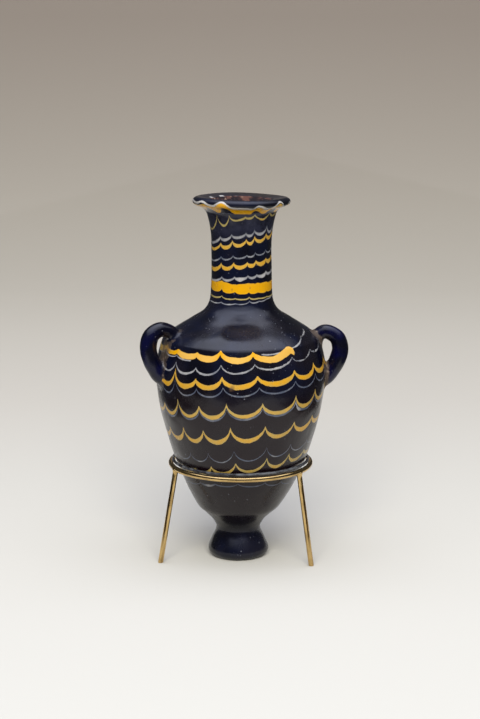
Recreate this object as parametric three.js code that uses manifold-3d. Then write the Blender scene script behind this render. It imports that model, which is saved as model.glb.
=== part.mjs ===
// Core-formed glass vase with two loop handles and a knob foot, held upright by a brass
// display stand: a ring of rod on three splayed legs, with a thin soft liner between ring
// and glass. Millimetres, +Z up, origin at the centre of the vase's underside. The handles
// lie about along X, and the side with the two front legs faces -Y.
import * as THREE from "three";
import { mergeVertices } from "three/addons/utils/BufferGeometryUtils.js";
import Module from "manifold-3d";

const wasm = await Module();
wasm.setup();

// Foot: a solid knob with a flat underside
const FOOT_BASE_RADIUS = 8.5;
const FOOT_RADIUS = 10.1;
const FOOT_BULGE_HEIGHT = 2.7;
const WAIST_RADIUS = 7.3;
const WAIST_HEIGHT = 10.1;

// Body, each rise measured from the station below it
const CUP_RADIUS = 14.0;
const CUP_RISE = 7.8;
const FLANK_RADIUS = 21.6;
const FLANK_RISE = 15.5;
const BELLY_RADIUS = 28.0;
const BELLY_RISE = 28.6;
const SHOULDER_RADIUS = 25.6;
const SHOULDER_RISE = 12.0;

// Neck and rim, rises as above
const NECK_ROOT_RADIUS = 10.6;
const NECK_ROOT_RISE = 12.0;
const NECK_RADIUS = 9.85;
const NECK_RISE = 13.0;
const THROAT_RADIUS = 11.2;
const THROAT_RISE = 15.4;
const RIM_RADIUS = 15.9;
const RIM_THICKNESS = 2.9;
const RIM_RISE = 5.6;
const RIM_DISH = 0.8;
const MOUTH_RADIUS = 9.8;

// Wall of the hollow, and the solid glass between the waist and the hollow's floor
const WALL = 3.3;
const FLOOR_THICKNESS = 7.4;

// How far the hand-made vase strays from a true turning
const BODY_DRIFT = 0.75;
const NECK_DRIFT = 0.3;
const RIM_TILT = 0.22;
const RIM_WAVE = 0.12;

// Handles: the overhang is from the glass beside a handle to its outermost point, and the
// crown is the highest point of its centre line, measured from the shoulder's station
const HANDLE_THICKNESS = 5.5;
const HANDLE_ROOT_THICKNESS = 4.7;
const HANDLE_OVERHANG = 8.8;
const HANDLE_SPAN = 15.1;
const HANDLE_BURY = 1.6;
const RIGHT_HANDLE_TURN = 0;
const RIGHT_HANDLE_CROWN = 1.75;
const LEFT_HANDLE_TURN = 202;
const LEFT_HANDLE_CROWN = 4.25;

// Stand: a leg meets the ring at one angle and the standing surface at another, further
// out by its splay
const ROD_DIAMETER = 1.7;
const RING_HEIGHT = 31.75;
const LINER_DIAMETER = 0.95;
const LINER_SEAT_ANGLE = 38;
const GAP = 0.3;
const LEFT_LEG_SPLAY = 5.3;
const RIGHT_LEG_SPLAY = 3.8;
const BACK_LEG_SPLAY = 4.5;
const LEGS = [
  { name: "stand_leg_left", top: 204, foot: 201.5, splay: LEFT_LEG_SPLAY },
  { name: "stand_leg_right", top: 325, foot: 329.5, splay: RIGHT_LEG_SPLAY },
  { name: "stand_leg_back", top: 90, foot: 90, splay: BACK_LEG_SPLAY },
];

// Fineness of the faceted surfaces
const TURNS = 48;
const HANDLE_SIDES = 12;
const HANDLE_STEPS = 22;
const ROD_SIDES = 10;
const LINER_SIDES = 8;

const GLASS = new THREE.MeshStandardMaterial({ color: 0x14162c, roughness: 0.18, metalness: 0 });
const BRASS = new THREE.MeshStandardMaterial({ color: 0xb8924e, roughness: 0.22, metalness: 1 });
const LINER = new THREE.MeshStandardMaterial({ color: 0x17171b, roughness: 0.35, metalness: 0 });

// Heights of the stations, stacked from the standing surface up
const CUP_HEIGHT = WAIST_HEIGHT + CUP_RISE;
const FLANK_HEIGHT = CUP_HEIGHT + FLANK_RISE;
const BELLY_HEIGHT = FLANK_HEIGHT + BELLY_RISE;
const SHOULDER_HEIGHT = BELLY_HEIGHT + SHOULDER_RISE;
const NECK_ROOT_HEIGHT = SHOULDER_HEIGHT + NECK_ROOT_RISE;
const NECK_HEIGHT = NECK_ROOT_HEIGHT + NECK_RISE;
const THROAT_HEIGHT = NECK_HEIGHT + THROAT_RISE;
const RIM_TOP = THROAT_HEIGHT + RIM_RISE;

// A point a share of the way from one [radius, height] station to the next.
function between([r0, z0], [r1, z1], radiusShare, heightShare) {
  return new THREE.Vector2(r0 + (r1 - r0) * radiusShare, z0 + (z1 - z0) * heightShare);
}

const waist = [WAIST_RADIUS, WAIST_HEIGHT];
const cup = [CUP_RADIUS, CUP_HEIGHT];
const flank = [FLANK_RADIUS, FLANK_HEIGHT];
const belly = [BELLY_RADIUS, BELLY_HEIGHT];
const shoulder = [SHOULDER_RADIUS, SHOULDER_HEIGHT];
const neckRoot = [NECK_ROOT_RADIUS, NECK_ROOT_HEIGHT];
const neck = [NECK_RADIUS, NECK_HEIGHT];
const throat = [THROAT_RADIUS, THROAT_HEIGHT];

// Outer outline of foot, body and neck, as [radius, height] points from the base up.
function footOutline() {
  const bulge = [FOOT_RADIUS, FOOT_BULGE_HEIGHT];
  return new THREE.SplineCurve([
    new THREE.Vector2(FOOT_BASE_RADIUS, 0),
    between([FOOT_BASE_RADIUS, 0], bulge, 0.75, 0.38),
    new THREE.Vector2(...bulge),
    between(bulge, waist, 0.42, 0.4),
    between(bulge, waist, 0.88, 0.76),
    new THREE.Vector2(...waist),
  ]).getPoints(7);
}

function bodyOutline() {
  return new THREE.SplineCurve([
    new THREE.Vector2(...waist),
    between(waist, cup, 0.24, 0.35),
    between(waist, cup, 0.6, 0.66),
    new THREE.Vector2(...cup),
    between(cup, flank, 0.5, 0.44),
    new THREE.Vector2(...flank),
    between(flank, belly, 0.44, 0.3),
    between(flank, belly, 0.8, 0.62),
    new THREE.Vector2(...belly),
    between(belly, shoulder, 0.33, 0.55),
    new THREE.Vector2(...shoulder),
  ]).getPoints(20);
}

function neckOutline() {
  return new THREE.SplineCurve([
    new THREE.Vector2(...shoulder),
    between(shoulder, neckRoot, 0.24, 0.24),
    between(shoulder, neckRoot, 0.65, 0.56),
    between(shoulder, neckRoot, 0.88, 0.75),
    new THREE.Vector2(...neckRoot),
    between(neckRoot, neck, 0.8, 0.35),
    new THREE.Vector2(...neck),
    between(neck, throat, 0.1, 0.6),
    new THREE.Vector2(...throat),
  ]).getPoints(11);
}

// From the throat out along the underside of the rim and over its rounded lip.
function rimOutline() {
  const inFromLip = (share) => RIM_RADIUS - RIM_THICKNESS * share;
  const below = (share) => RIM_TOP - RIM_THICKNESS * share;
  const lip = new THREE.Path();
  lip.moveTo(...throat);
  lip.quadraticCurveTo(THROAT_RADIUS + RIM_THICKNESS * 0.28, below(1.12), inFromLip(0.42), below(0.94));
  lip.bezierCurveTo(
    inFromLip(-0.12), below(0.72), inFromLip(-0.14), below(0.18), inFromLip(0.5), RIM_TOP,
  );
  return lip.getPoints(4).slice(1);
}

// The outer outline without the part that lies on the axis.
function outerOutline() {
  return [
    ...footOutline(),
    ...bodyOutline().slice(1),
    ...neckOutline().slice(1),
    ...rimOutline(),
  ];
}

// Outer radius and its slope against height, at a height on the body or the neck.
function glassAt(height) {
  const points = [...bodyOutline(), ...neckOutline().slice(1)];
  const i = points.findIndex((p, n) => n > 0 && p.y >= height);
  const [a, b] = [points[i - 1], points[i]];
  const slope = (b.x - a.x) / (b.y - a.y);
  return { radius: a.x + slope * (height - a.y), slope };
}

// The outline moved inwards by the wall, between two heights.
function innerWall(from, to) {
  const points = [...bodyOutline(), ...neckOutline().slice(1)];
  const inner = [];
  for (let i = 1; i < points.length - 1; i += 2) {
    const along = points[i + 1].clone().sub(points[i - 1]).normalize();
    const moved = new THREE.Vector2(points[i].x - along.y * WALL, points[i].y + along.x * WALL);
    if (moved.y > from && moved.y < to) inner.push(moved);
  }
  return inner;
}

// The hollow's outline, from its floor on the axis to above the mouth.
function cavityOutline() {
  const floorHeight = WAIST_HEIGHT + FLOOR_THICKNESS;
  const wall = innerWall(floorHeight + WALL, THROAT_HEIGHT);
  const low = wall[0];
  const floor = new THREE.Path();
  floor.moveTo(0, floorHeight);
  floor.bezierCurveTo(low.x * 0.5, floorHeight, low.x * 0.86, low.y - WALL * 0.7, low.x, low.y);
  const bore = wall[wall.length - 1];
  const edge = [MOUTH_RADIUS, RIM_TOP - RIM_DISH];
  const flare = new THREE.QuadraticBezierCurve(
    bore, between(bore.toArray(), edge, 0.13, 0.78), new THREE.Vector2(...edge),
  );
  const lipTop = rimOutline().at(-1);
  return [
    ...floor.getPoints(5),
    ...wall.slice(1),
    ...flare.getPoints(4).slice(1),
    lipTop,
    new THREE.Vector2(lipTop.x, RIM_TOP + RIM_RISE),
    new THREE.Vector2(0, RIM_TOP + RIM_RISE),
  ];
}

// Sideways drift of the vase's axis at a height: the foot sits off the body's axis, and
// the neck leans on a little further.
function driftAt(height) {
  const body = THREE.MathUtils.smoothstep(height, WAIST_HEIGHT, FLANK_HEIGHT);
  const upper = THREE.MathUtils.smoothstep(height, BELLY_HEIGHT, NECK_ROOT_HEIGHT);
  return BODY_DRIFT * body + NECK_DRIFT * upper;
}

// Bends a turned shape as the real vase is bent: the drift, and a tilt and wave of the rim.
function handMade(geometry) {
  const p = geometry.getAttribute("position");
  for (let i = 0; i < p.count; i++) {
    const [x, y, z] = [p.getX(i), p.getY(i), p.getZ(i)];
    const outwards = Math.hypot(x, y) / RIM_RADIUS;
    const wave = RIM_WAVE * outwards * Math.cos(3 * Math.atan2(y, x) + 1);
    const lift = wave - (RIM_TILT * x) / RIM_RADIUS;
    const share = THREE.MathUtils.smoothstep(z, THROAT_HEIGHT, RIM_TOP);
    p.setXYZ(i, x + driftAt(z), y, z + share * lift);
  }
  return geometry;
}

// A closed turning about Z. Its outline runs from the axis to the axis, material inside.
function turned(outline) {
  return new THREE.LatheGeometry(outline, TURNS).rotateX(Math.PI / 2);
}

function toSolid(geometry) {
  const bare = geometry.clone().deleteAttribute("normal").deleteAttribute("uv");
  const merged = mergeVertices(bare, 1e-4);
  return new wasm.Manifold(
    new wasm.Mesh({
      numProp: 3,
      vertProperties: merged.getAttribute("position").array,
      triVerts: new Uint32Array(merged.index.array),
    }),
  );
}

function toGeometry(solid) {
  const { vertProperties, triVerts } = solid.getMesh();
  const geometry = new THREE.BufferGeometry();
  geometry.setAttribute("position", new THREE.BufferAttribute(vertProperties, 3));
  geometry.setIndex(new THREE.BufferAttribute(triVerts, 1));
  geometry.computeVertexNormals();
  return geometry;
}

// A round bar along a curve in a vertical plane, its thickness following a function of
// the share of the length, closed by flat ends.
function bar(curve, thicknessAt, sides, steps) {
  const positions = [];
  const index = [];
  const across = new THREE.Vector3(0, 1, 0);
  for (let s = 0; s <= steps; s++) {
    const centre = curve.getPointAt(s / steps);
    const up = new THREE.Vector3().crossVectors(curve.getTangentAt(s / steps), across).normalize();
    for (let k = 0; k < sides; k++) {
      const angle = (2 * Math.PI * k) / sides;
      const point = centre.clone();
      point.addScaledVector(across, (thicknessAt(s / steps) / 2) * Math.cos(angle));
      point.addScaledVector(up, (thicknessAt(s / steps) / 2) * Math.sin(angle));
      positions.push(...point.toArray());
    }
  }
  for (let s = 0; s < steps; s++) {
    for (let k = 0; k < sides; k++) {
      const [a, b] = [s * sides + k, s * sides + ((k + 1) % sides)];
      index.push(a, b, a + sides, b, b + sides, a + sides);
    }
  }
  for (let k = 1; k < sides - 1; k++) {
    const last = steps * sides;
    index.push(0, k + 1, k, last, last + k, last + k + 1);
  }
  const geometry = new THREE.BufferGeometry();
  geometry.setAttribute("position", new THREE.Float32BufferAttribute(positions, 3));
  return geometry.setIndex(index);
}

// A loop handle in the XZ plane, from the shoulder out, round and back into the belly,
// turned to its place about the body's axis.
function handle(crownRise, turn) {
  const crown = SHOULDER_HEIGHT + crownRise;
  const tail = crown - HANDLE_SPAN;
  const down = (share) => crown - HANDLE_SPAN * share;
  const out = glassAt(down(0.34)).radius + HANDLE_OVERHANG - HANDLE_THICKNESS / 2;
  const overhang = out - glassAt(tail).radius;
  const inwards = (share) => out - overhang * share;
  const root = glassAt(down(0.2)).radius - HANDLE_BURY;
  const curve = new THREE.CatmullRomCurve3(
    [
      [root, down(0.2)],
      [root + (inwards(1.04) - root) * 0.42, down(0.06)],
      [inwards(1.04), crown],
      [inwards(0.27), down(0.115)],
      [out, down(0.35)],
      [inwards(0.2), down(0.64)],
      [inwards(0.6), down(0.85)],
      [inwards(1), tail],
      [inwards(1) - HANDLE_BURY, tail - HANDLE_BURY * 0.5],
    ].map(([x, z]) => new THREE.Vector3(x, 0, z)),
    false,
    "centripetal",
  );
  const { lerp, smoothstep } = THREE.MathUtils;
  const thickness = (s) => lerp(HANDLE_ROOT_THICKNESS, HANDLE_THICKNESS, smoothstep(s, 0.1, 0.5));
  return bar(curve, thickness, HANDLE_SIDES, HANDLE_STEPS)
    .rotateZ(THREE.MathUtils.degToRad(turn))
    .translate(driftAt(tail), 0, 0);
}

function vase() {
  const rimCentre = new THREE.Vector2(0, RIM_TOP);
  const outer = toSolid(
    handMade(turned([new THREE.Vector2(0, 0), ...outerOutline(), rimCentre])),
  );
  const hollow = toSolid(handMade(turned(cavityOutline())));
  return outer
    .add(toSolid(handle(RIGHT_HANDLE_CROWN, RIGHT_HANDLE_TURN)))
    .add(toSolid(handle(LEFT_HANDLE_CROWN, LEFT_HANDLE_TURN)))
    .subtract(hollow);
}

// The centre lines of the stand's ring and of the liner above it, each as a radius and a
// height. The liner lies in the notch between ring and glass, at its seat angle from the
// line that runs square from the ring to the glass, and keeps the gap to both.
function standStations() {
  const glass = glassAt(RING_HEIGHT);
  const lean = Math.atan(glass.slope);
  const seat = THREE.MathUtils.degToRad(LINER_SEAT_ANGLE);
  const apart = ROD_DIAMETER / 2 + GAP + LINER_DIAMETER / 2;
  const across = apart * Math.cos(seat);
  const along = apart * Math.sin(seat);
  const offGlass = across + LINER_DIAMETER / 2 + GAP;
  const ring = { radius: glass.radius + offGlass / Math.cos(lean), height: RING_HEIGHT };
  const liner = {
    radius: ring.radius - across * Math.cos(lean) + along * Math.sin(lean),
    height: ring.height + across * Math.sin(lean) + along * Math.cos(lean),
  };
  return { ring, liner };
}

function hoop({ radius, height }, thickness, sides) {
  return new THREE.TorusGeometry(radius, thickness / 2, sides, TURNS)
    .translate(driftAt(RING_HEIGHT), 0, height);
}

// A straight leg from the standing surface up to the ring, its top coped round the ring
// and its end cut level.
function leg({ top, foot, splay }, ring) {
  const onCircle = (radius, degrees, height) => {
    const a = THREE.MathUtils.degToRad(degrees);
    const x = driftAt(RING_HEIGHT) + radius * Math.cos(a);
    return new THREE.Vector3(x, radius * Math.sin(a), height);
  };
  const head = onCircle(ring.radius, top, ring.height);
  const end = onCircle(ring.radius + splay, foot, 0);
  const along = head.clone().sub(end);
  const below = 2 * ROD_DIAMETER;
  const length = along.length() + below;
  const rod = new THREE.CylinderGeometry(ROD_DIAMETER / 2, ROD_DIAMETER / 2, length, ROD_SIDES);
  const upright = new THREE.Vector3(0, 1, 0);
  rod.translate(0, length / 2 - below, 0);
  rod.applyQuaternion(
    new THREE.Quaternion().setFromUnitVectors(upright, along.clone().normalize()),
  );
  rod.translate(end.x, end.y, end.z);
  const reach = 4 * (ring.radius + splay);
  const ground = new THREE.BoxGeometry(reach, reach, 4 * below).translate(0, 0, -2 * below);
  const coping = hoop(ring, ROD_DIAMETER + 2 * GAP, ROD_SIDES * 2);
  const pieces = toSolid(rod).subtract(toSolid(ground)).subtract(toSolid(coping)).decompose();
  return pieces.sort((a, b) => b.volume() - a.volume())[0];
}

function piece(name, geometry, material) {
  const mesh = new THREE.Mesh(geometry, material);
  mesh.name = name;
  return mesh;
}

const { ring, liner } = standStations();
const model = new THREE.Group();
model.add(piece("vase", toGeometry(vase()), GLASS));
model.add(piece("stand_ring", hoop(ring, ROD_DIAMETER, ROD_SIDES), BRASS));
model.add(piece("ring_liner", hoop(liner, LINER_DIAMETER, LINER_SIDES), LINER));
for (const each of LEGS) model.add(piece(each.name, toGeometry(leg(each, ring)), BRASS));

export default model;
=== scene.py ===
"""Dressed model of a small core-formed glass vase held upright in a brass rod stand.

The vase is one fused glass body: knob foot, ovoid body, tall neck, flared lip and two loop
handles. Its surface is decorated with trailed yellow and pale threads that were dragged
upwards with a comb while hot, so they hang in swags between sharp cusps. Sizes in the
classes are millimetres and degrees, meshes are in metres, azimuths run anticlockwise from
+X seen from above, and 270 degrees is the front.
"""

import logging
import math
from collections.abc import Callable
from dataclasses import dataclass, field
from enum import Enum

import bpy
import numpy as np
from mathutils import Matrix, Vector

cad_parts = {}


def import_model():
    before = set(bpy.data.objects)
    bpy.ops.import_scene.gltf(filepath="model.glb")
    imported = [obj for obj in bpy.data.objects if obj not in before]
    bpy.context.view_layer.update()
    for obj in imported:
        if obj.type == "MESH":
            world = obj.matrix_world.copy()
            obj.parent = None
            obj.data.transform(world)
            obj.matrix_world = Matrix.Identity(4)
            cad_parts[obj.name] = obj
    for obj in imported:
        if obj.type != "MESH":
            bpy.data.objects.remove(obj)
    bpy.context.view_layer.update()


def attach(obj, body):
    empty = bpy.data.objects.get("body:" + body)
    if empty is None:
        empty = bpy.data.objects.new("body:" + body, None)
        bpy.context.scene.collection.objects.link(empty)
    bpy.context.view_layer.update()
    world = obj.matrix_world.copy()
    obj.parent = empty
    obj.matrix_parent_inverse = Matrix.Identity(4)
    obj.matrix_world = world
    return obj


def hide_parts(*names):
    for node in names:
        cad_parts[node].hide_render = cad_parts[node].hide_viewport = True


LOG = logging.getLogger("vase")
MM = 0.001
FULL_TURN = 360.0
HALF_TURN = 180.0


class Finish(Enum):
    """Names of the record's finish slots; no piece in this script takes its finish from them."""

    GLASS = "dark_blue_glass"
    BRASS = "brass_rod"
    LINER = "stand_liner"


# Small mathematics


def smoothstep(value: np.ndarray, low: float, high: float) -> np.ndarray:
    """Soft step from 0 at low to 1 at high.

    Args:
        value: numbers to be stepped.
        low: where the step starts.
        high: where the step ends.

    Returns:
        Numbers between 0 and 1.
    """
    share = np.clip((np.asarray(value, float) - low) / (high - low), 0.0, 1.0)
    return share * share * (3.0 - 2.0 * share)


def lerp(start: np.ndarray, end: np.ndarray, share: np.ndarray) -> np.ndarray:
    """Straight blend from start to end by a share."""
    return start + (end - start) * share


def bell(distance: np.ndarray, spread: float) -> np.ndarray:
    """Bell curve, 1 at no distance and about a third at the spread."""
    return np.exp(-((distance / spread) ** 2))


def turn_from(start: np.ndarray, azimuth: np.ndarray) -> np.ndarray:
    """Degrees from one azimuth to another by the shorter way, -180 to 180."""
    return (azimuth - start + HALF_TURN) % FULL_TURN - HALF_TURN


def spline(points: list[tuple[float, float]], steps: int) -> np.ndarray:
    """Even Catmull-Rom curve through points.

    Args:
        points: control points, radius first and height second.
        steps: number of steps along the whole curve.

    Returns:
        Array of steps + 1 points.
    """
    knots = np.array(points, float)
    last = len(knots) - 1
    place = np.linspace(0.0, last, steps + 1)
    index = np.minimum(place.astype(int), last - 1)
    t = (place - index)[:, None]
    p1 = knots[index]
    p2 = knots[index + 1]
    v1 = 0.5 * (p2 - knots[np.maximum(index - 1, 0)])
    v2 = 0.5 * (knots[np.minimum(index + 2, last)] - p1)
    cubic = 2.0 * p1 - 2.0 * p2 + v1 + v2
    square = -3.0 * p1 + 3.0 * p2 - 2.0 * v1 - v2
    return cubic * t**3 + square * t**2 + v1 * t + p1


def bezier(points: list[tuple[float, float]], steps: int) -> np.ndarray:
    """Bezier curve of any degree.

    Args:
        points: control points.
        steps: number of steps along the curve.

    Returns:
        Array of steps + 1 points.
    """
    degree = len(points) - 1
    t = np.linspace(0.0, 1.0, steps + 1)[:, None]
    curve = np.zeros((steps + 1, 2))
    for i, point in enumerate(points):
        weight = math.comb(degree, i) * t**i * (1.0 - t) ** (degree - i)
        curve = curve + weight * np.array(point, float)
    return curve


def resampled(path: np.ndarray, spacing: float) -> np.ndarray:
    """Points at even distances along a path.

    Args:
        path: points of the path.
        spacing: wanted distance between points.

    Returns:
        Array of points, with both ends of the path kept.
    """
    lengths = np.linalg.norm(np.diff(path, axis=0), axis=1)
    along = np.concatenate([[0.0], np.cumsum(lengths)])
    count = max(2, int(round(along[-1] / spacing)) + 1)
    places = np.linspace(0.0, along[-1], count)
    return np.stack([np.interp(places, along, path[:, k]) for k in range(path.shape[1])], 1)


def ripple(points: np.ndarray, wavelength: float, seed: int, waves: int = 9) -> np.ndarray:
    """Gentle unevenness over a surface: a sum of slanted sine waves.

    Args:
        points: places in millimetres, one row each.
        wavelength: typical length of a wave.
        seed: start of the draw of directions.
        waves: number of waves.

    Returns:
        A height for each point, about -1 to 1.
    """
    draw = np.random.default_rng(seed)
    height = np.zeros(len(points))
    for _ in range(waves):
        direction = draw.normal(size=3)
        direction /= np.linalg.norm(direction)
        length = wavelength * draw.uniform(0.6, 1.7)
        height += np.sin(points @ direction * (2.0 * math.pi / length) + draw.uniform(0, 6.28))
    return height / math.sqrt(waves)


# Meshes


def mesh_object(name: str, points: np.ndarray, faces: list, smooth: bool = True) -> bpy.types.Object:
    """Makes a mesh object from points in millimetres.

    Args:
        name: name of the object.
        points: vertices in millimetres.
        faces: vertex numbers of each face.
        smooth: whether the faces are shaded smooth.

    Returns:
        The new object, linked to the scene.
    """
    mesh = bpy.data.meshes.new(name)
    mesh.from_pydata((np.asarray(points) * MM).tolist(), [], faces)
    mesh.polygons.foreach_set("use_smooth", [smooth] * len(mesh.polygons))
    mesh.validate()
    mesh.update()
    piece = bpy.data.objects.new(name, mesh)
    bpy.context.scene.collection.objects.link(piece)
    return piece


def grid_faces(rows: int, columns: int, first: int = 0) -> list[tuple[int, int, int, int]]:
    """Faces of a grid whose columns close into a ring.

    Args:
        rows: number of rings of vertices.
        columns: number of vertices in each ring.
        first: number of the grid's first vertex.

    Returns:
        Quads that face outwards when rings are stacked upwards and turn anticlockwise.
    """
    faces = []
    for j in range(rows - 1):
        low = first + j * columns
        for i in range(columns):
            k = (i + 1) % columns
            faces.append((low + i, low + k, low + columns + k, low + columns + i))
    return faces


def pole_faces(columns: int, last: int, pole: int) -> list[tuple[int, int, int]]:
    """Fans that close a grid of rings at its first and its last ring.

    Args:
        columns: number of vertices in each ring.
        last: number of the last ring's first vertex.
        pole: number of the first ring's pole, which the last ring's pole follows.

    Returns:
        Triangles that face the same way as the grid's quads.
    """
    faces = []
    for i in range(columns):
        k = (i + 1) % columns
        faces.append((k, i, pole))
        faces.append((last + i, last + k, pole + 1))
    return faces


def store(mesh: bpy.types.Mesh, name: str, values: np.ndarray, domain: str = "POINT") -> None:
    """Keeps numbers or vectors on a mesh under a name.

    Args:
        mesh: the mesh.
        name: name of the attribute.
        values: one number or one triple for each element.
        domain: POINT for vertices or CORNER for face corners.
    """
    kind = "FLOAT_VECTOR" if values.ndim == 2 else "FLOAT"
    layer = mesh.attributes.new(name, kind, domain)
    layer.data.foreach_set("vector" if values.ndim == 2 else "value", values.ravel())


def coordinates(mesh: bpy.types.Mesh) -> np.ndarray:
    """Vertices of a mesh in millimetres, one row each."""
    flat = np.zeros(len(mesh.vertices) * 3)
    mesh.vertices.foreach_get("co", flat)
    return flat.reshape(-1, 3) / MM


# Form of the vase


@dataclass(frozen=True)
class VaseForm:
    """Outline of the turned glass and how the hand-made vessel strays from it."""

    foot_base_radius: float = 8.5
    foot_radius: float = 10.1
    foot_bulge_height: float = 2.7
    waist_radius: float = 7.3
    waist_height: float = 10.1
    cup_radius: float = 14.0
    cup_rise: float = 7.8
    flank_radius: float = 21.6
    flank_rise: float = 15.5
    belly_radius: float = 28.0
    belly_rise: float = 28.6
    shoulder_radius: float = 25.6
    shoulder_rise: float = 12.0
    neck_root_radius: float = 10.6
    neck_root_rise: float = 12.0
    neck_radius: float = 9.85
    neck_rise: float = 13.0
    throat_radius: float = 11.2
    throat_rise: float = 15.4
    rim_radius: float = 15.9
    rim_thickness: float = 2.9
    rim_rise: float = 5.6
    rim_dish: float = 0.8
    mouth_radius: float = 9.8
    wall: float = 3.3
    floor_thickness: float = 7.4
    body_drift: float = 0.75
    neck_drift: float = 0.3
    rim_tilt: float = 0.22
    rim_wave: float = 0.12

    @property
    def waist(self) -> tuple[float, float]:
        """Station where the foot meets the body."""
        return (self.waist_radius, self.waist_height)

    @property
    def cup(self) -> tuple[float, float]:
        """Station low on the body."""
        return (self.cup_radius, self.waist_height + self.cup_rise)

    @property
    def flank(self) -> tuple[float, float]:
        """Station where the stand's ring sits."""
        return (self.flank_radius, self.cup[1] + self.flank_rise)

    @property
    def belly(self) -> tuple[float, float]:
        """Widest station."""
        return (self.belly_radius, self.flank[1] + self.belly_rise)

    @property
    def shoulder(self) -> tuple[float, float]:
        """Station where the body turns in."""
        return (self.shoulder_radius, self.belly[1] + self.shoulder_rise)

    @property
    def neck_root(self) -> tuple[float, float]:
        """Station where the shoulder meets the neck."""
        return (self.neck_root_radius, self.shoulder[1] + self.neck_root_rise)

    @property
    def neck(self) -> tuple[float, float]:
        """Narrowest station of the neck."""
        return (self.neck_radius, self.neck_root[1] + self.neck_rise)

    @property
    def throat(self) -> tuple[float, float]:
        """Station where the neck starts to flare into the rim."""
        return (self.throat_radius, self.neck[1] + self.throat_rise)

    @property
    def rim_top(self) -> float:
        """Height of the lip before its tilt."""
        return self.throat[1] + self.rim_rise

    @staticmethod
    def between(start: tuple, end: tuple, radius_share: float, height_share: float) -> tuple:
        """Point a share of the way from one station to the next, apart in radius and height."""
        radius = start[0] + (end[0] - start[0]) * radius_share
        return (radius, start[1] + (end[1] - start[1]) * height_share)

    def foot_outline(self) -> np.ndarray:
        """Outline of the knob foot from its flat underside to the waist."""
        base = (self.foot_base_radius, 0.0)
        bulge = (self.foot_radius, self.foot_bulge_height)
        return spline(
            [
                base,
                self.between(base, bulge, 0.75, 0.38),
                bulge,
                self.between(bulge, self.waist, 0.42, 0.4),
                self.between(bulge, self.waist, 0.88, 0.76),
                self.waist,
            ],
            60,
        )

    def body_outline(self) -> np.ndarray:
        """Outline of the body from the waist to the shoulder station."""
        return spline(
            [
                self.waist,
                self.between(self.waist, self.cup, 0.24, 0.35),
                self.between(self.waist, self.cup, 0.6, 0.66),
                self.cup,
                self.between(self.cup, self.flank, 0.5, 0.44),
                self.flank,
                self.between(self.flank, self.belly, 0.44, 0.3),
                self.between(self.flank, self.belly, 0.8, 0.62),
                self.belly,
                self.between(self.belly, self.shoulder, 0.33, 0.55),
                self.shoulder,
            ],
            240,
        )

    def neck_outline(self) -> np.ndarray:
        """Outline from the shoulder station up the neck to the throat."""
        return spline(
            [
                self.shoulder,
                self.between(self.shoulder, self.neck_root, 0.24, 0.24),
                self.between(self.shoulder, self.neck_root, 0.65, 0.56),
                self.between(self.shoulder, self.neck_root, 0.88, 0.75),
                self.neck_root,
                self.between(self.neck_root, self.neck, 0.8, 0.35),
                self.neck,
                self.between(self.neck, self.throat, 0.1, 0.6),
                self.throat,
            ],
            160,
        )

    def rim_outline(self) -> np.ndarray:
        """Outline from the throat along the underside of the rim and over its lip."""
        lip = self.rim_thickness
        under = (self.rim_radius - lip * 0.42, self.rim_top - lip * 0.94)
        flare = [self.throat, (self.throat_radius + lip * 0.28, self.rim_top - lip * 1.12), under]
        roll = [
            under,
            (self.rim_radius + lip * 0.12, self.rim_top - lip * 0.72),
            (self.rim_radius + lip * 0.14, self.rim_top - lip * 0.18),
            (self.rim_radius - lip * 0.5, self.rim_top),
        ]
        return np.concatenate([bezier(flare, 24), bezier(roll, 30)[1:]])

    def side(self) -> np.ndarray:
        """Outline of body and neck without foot and rim, by rising height."""
        return np.concatenate([self.body_outline(), self.neck_outline()[1:]])

    def radius_at(self, height: np.ndarray) -> np.ndarray:
        """Outer radius at heights on the body or neck."""
        outline = self.side()
        return np.interp(height, outline[:, 1], outline[:, 0])

    def slope_at(self, height: np.ndarray) -> np.ndarray:
        """Change of the outer radius with height."""
        return (self.radius_at(height + 0.4) - self.radius_at(height - 0.4)) / 0.8

    def cavity_outline(self) -> np.ndarray:
        """Outline of the hollow from the lip's top edge down to its floor on the axis."""
        side = self.side()
        along = np.gradient(side, axis=0)
        along /= np.linalg.norm(along, axis=1)[:, None]
        wall = np.stack([side[:, 0] - along[:, 1] * self.wall, side[:, 1] + along[:, 0] * self.wall], 1)
        floor = self.waist_height + self.floor_thickness
        wall = wall[(wall[:, 1] > floor + self.wall) & (wall[:, 1] < self.throat[1])][::6]
        low = tuple(wall[0])
        bottom = bezier(
            [(0.0, floor), (low[0] * 0.5, floor), (low[0] * 0.86, low[1] - self.wall * 0.7), low], 24
        )
        bore = tuple(wall[-1])
        edge = (self.mouth_radius, self.rim_top - self.rim_dish)
        flare = bezier([bore, self.between(bore, edge, 0.13, 0.78), edge], 12)
        top = tuple(self.rim_outline()[-1])
        dish = bezier([edge, self.between(edge, top, 0.35, 0.5), top], 8)
        outline = np.concatenate([bottom, wall[1:-1], flare, dish[1:]])
        return outline[::-1]

    def drift_at(self, height: np.ndarray) -> np.ndarray:
        """Sideways drift of the vase's axis at heights."""
        low = smoothstep(height, self.waist_height, self.flank[1])
        high = smoothstep(height, self.belly[1], self.neck_root[1])
        return self.body_drift * low + self.neck_drift * high

    def lift_at(self, radius: np.ndarray, angle: np.ndarray, height: np.ndarray) -> np.ndarray:
        """Rise and fall of the hand-made rim.

        Args:
            radius: distance from the axis.
            angle: azimuth in radians.
            height: height before the lift.

        Returns:
            How far each point is lifted.
        """
        outwards = radius / self.rim_radius
        wave = self.rim_wave * outwards * np.cos(3.0 * angle + 1.0)
        tilt = self.rim_tilt * outwards * np.cos(angle)
        return smoothstep(height, self.throat[1], self.rim_top) * (wave - tilt)


# Trailed threads

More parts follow.
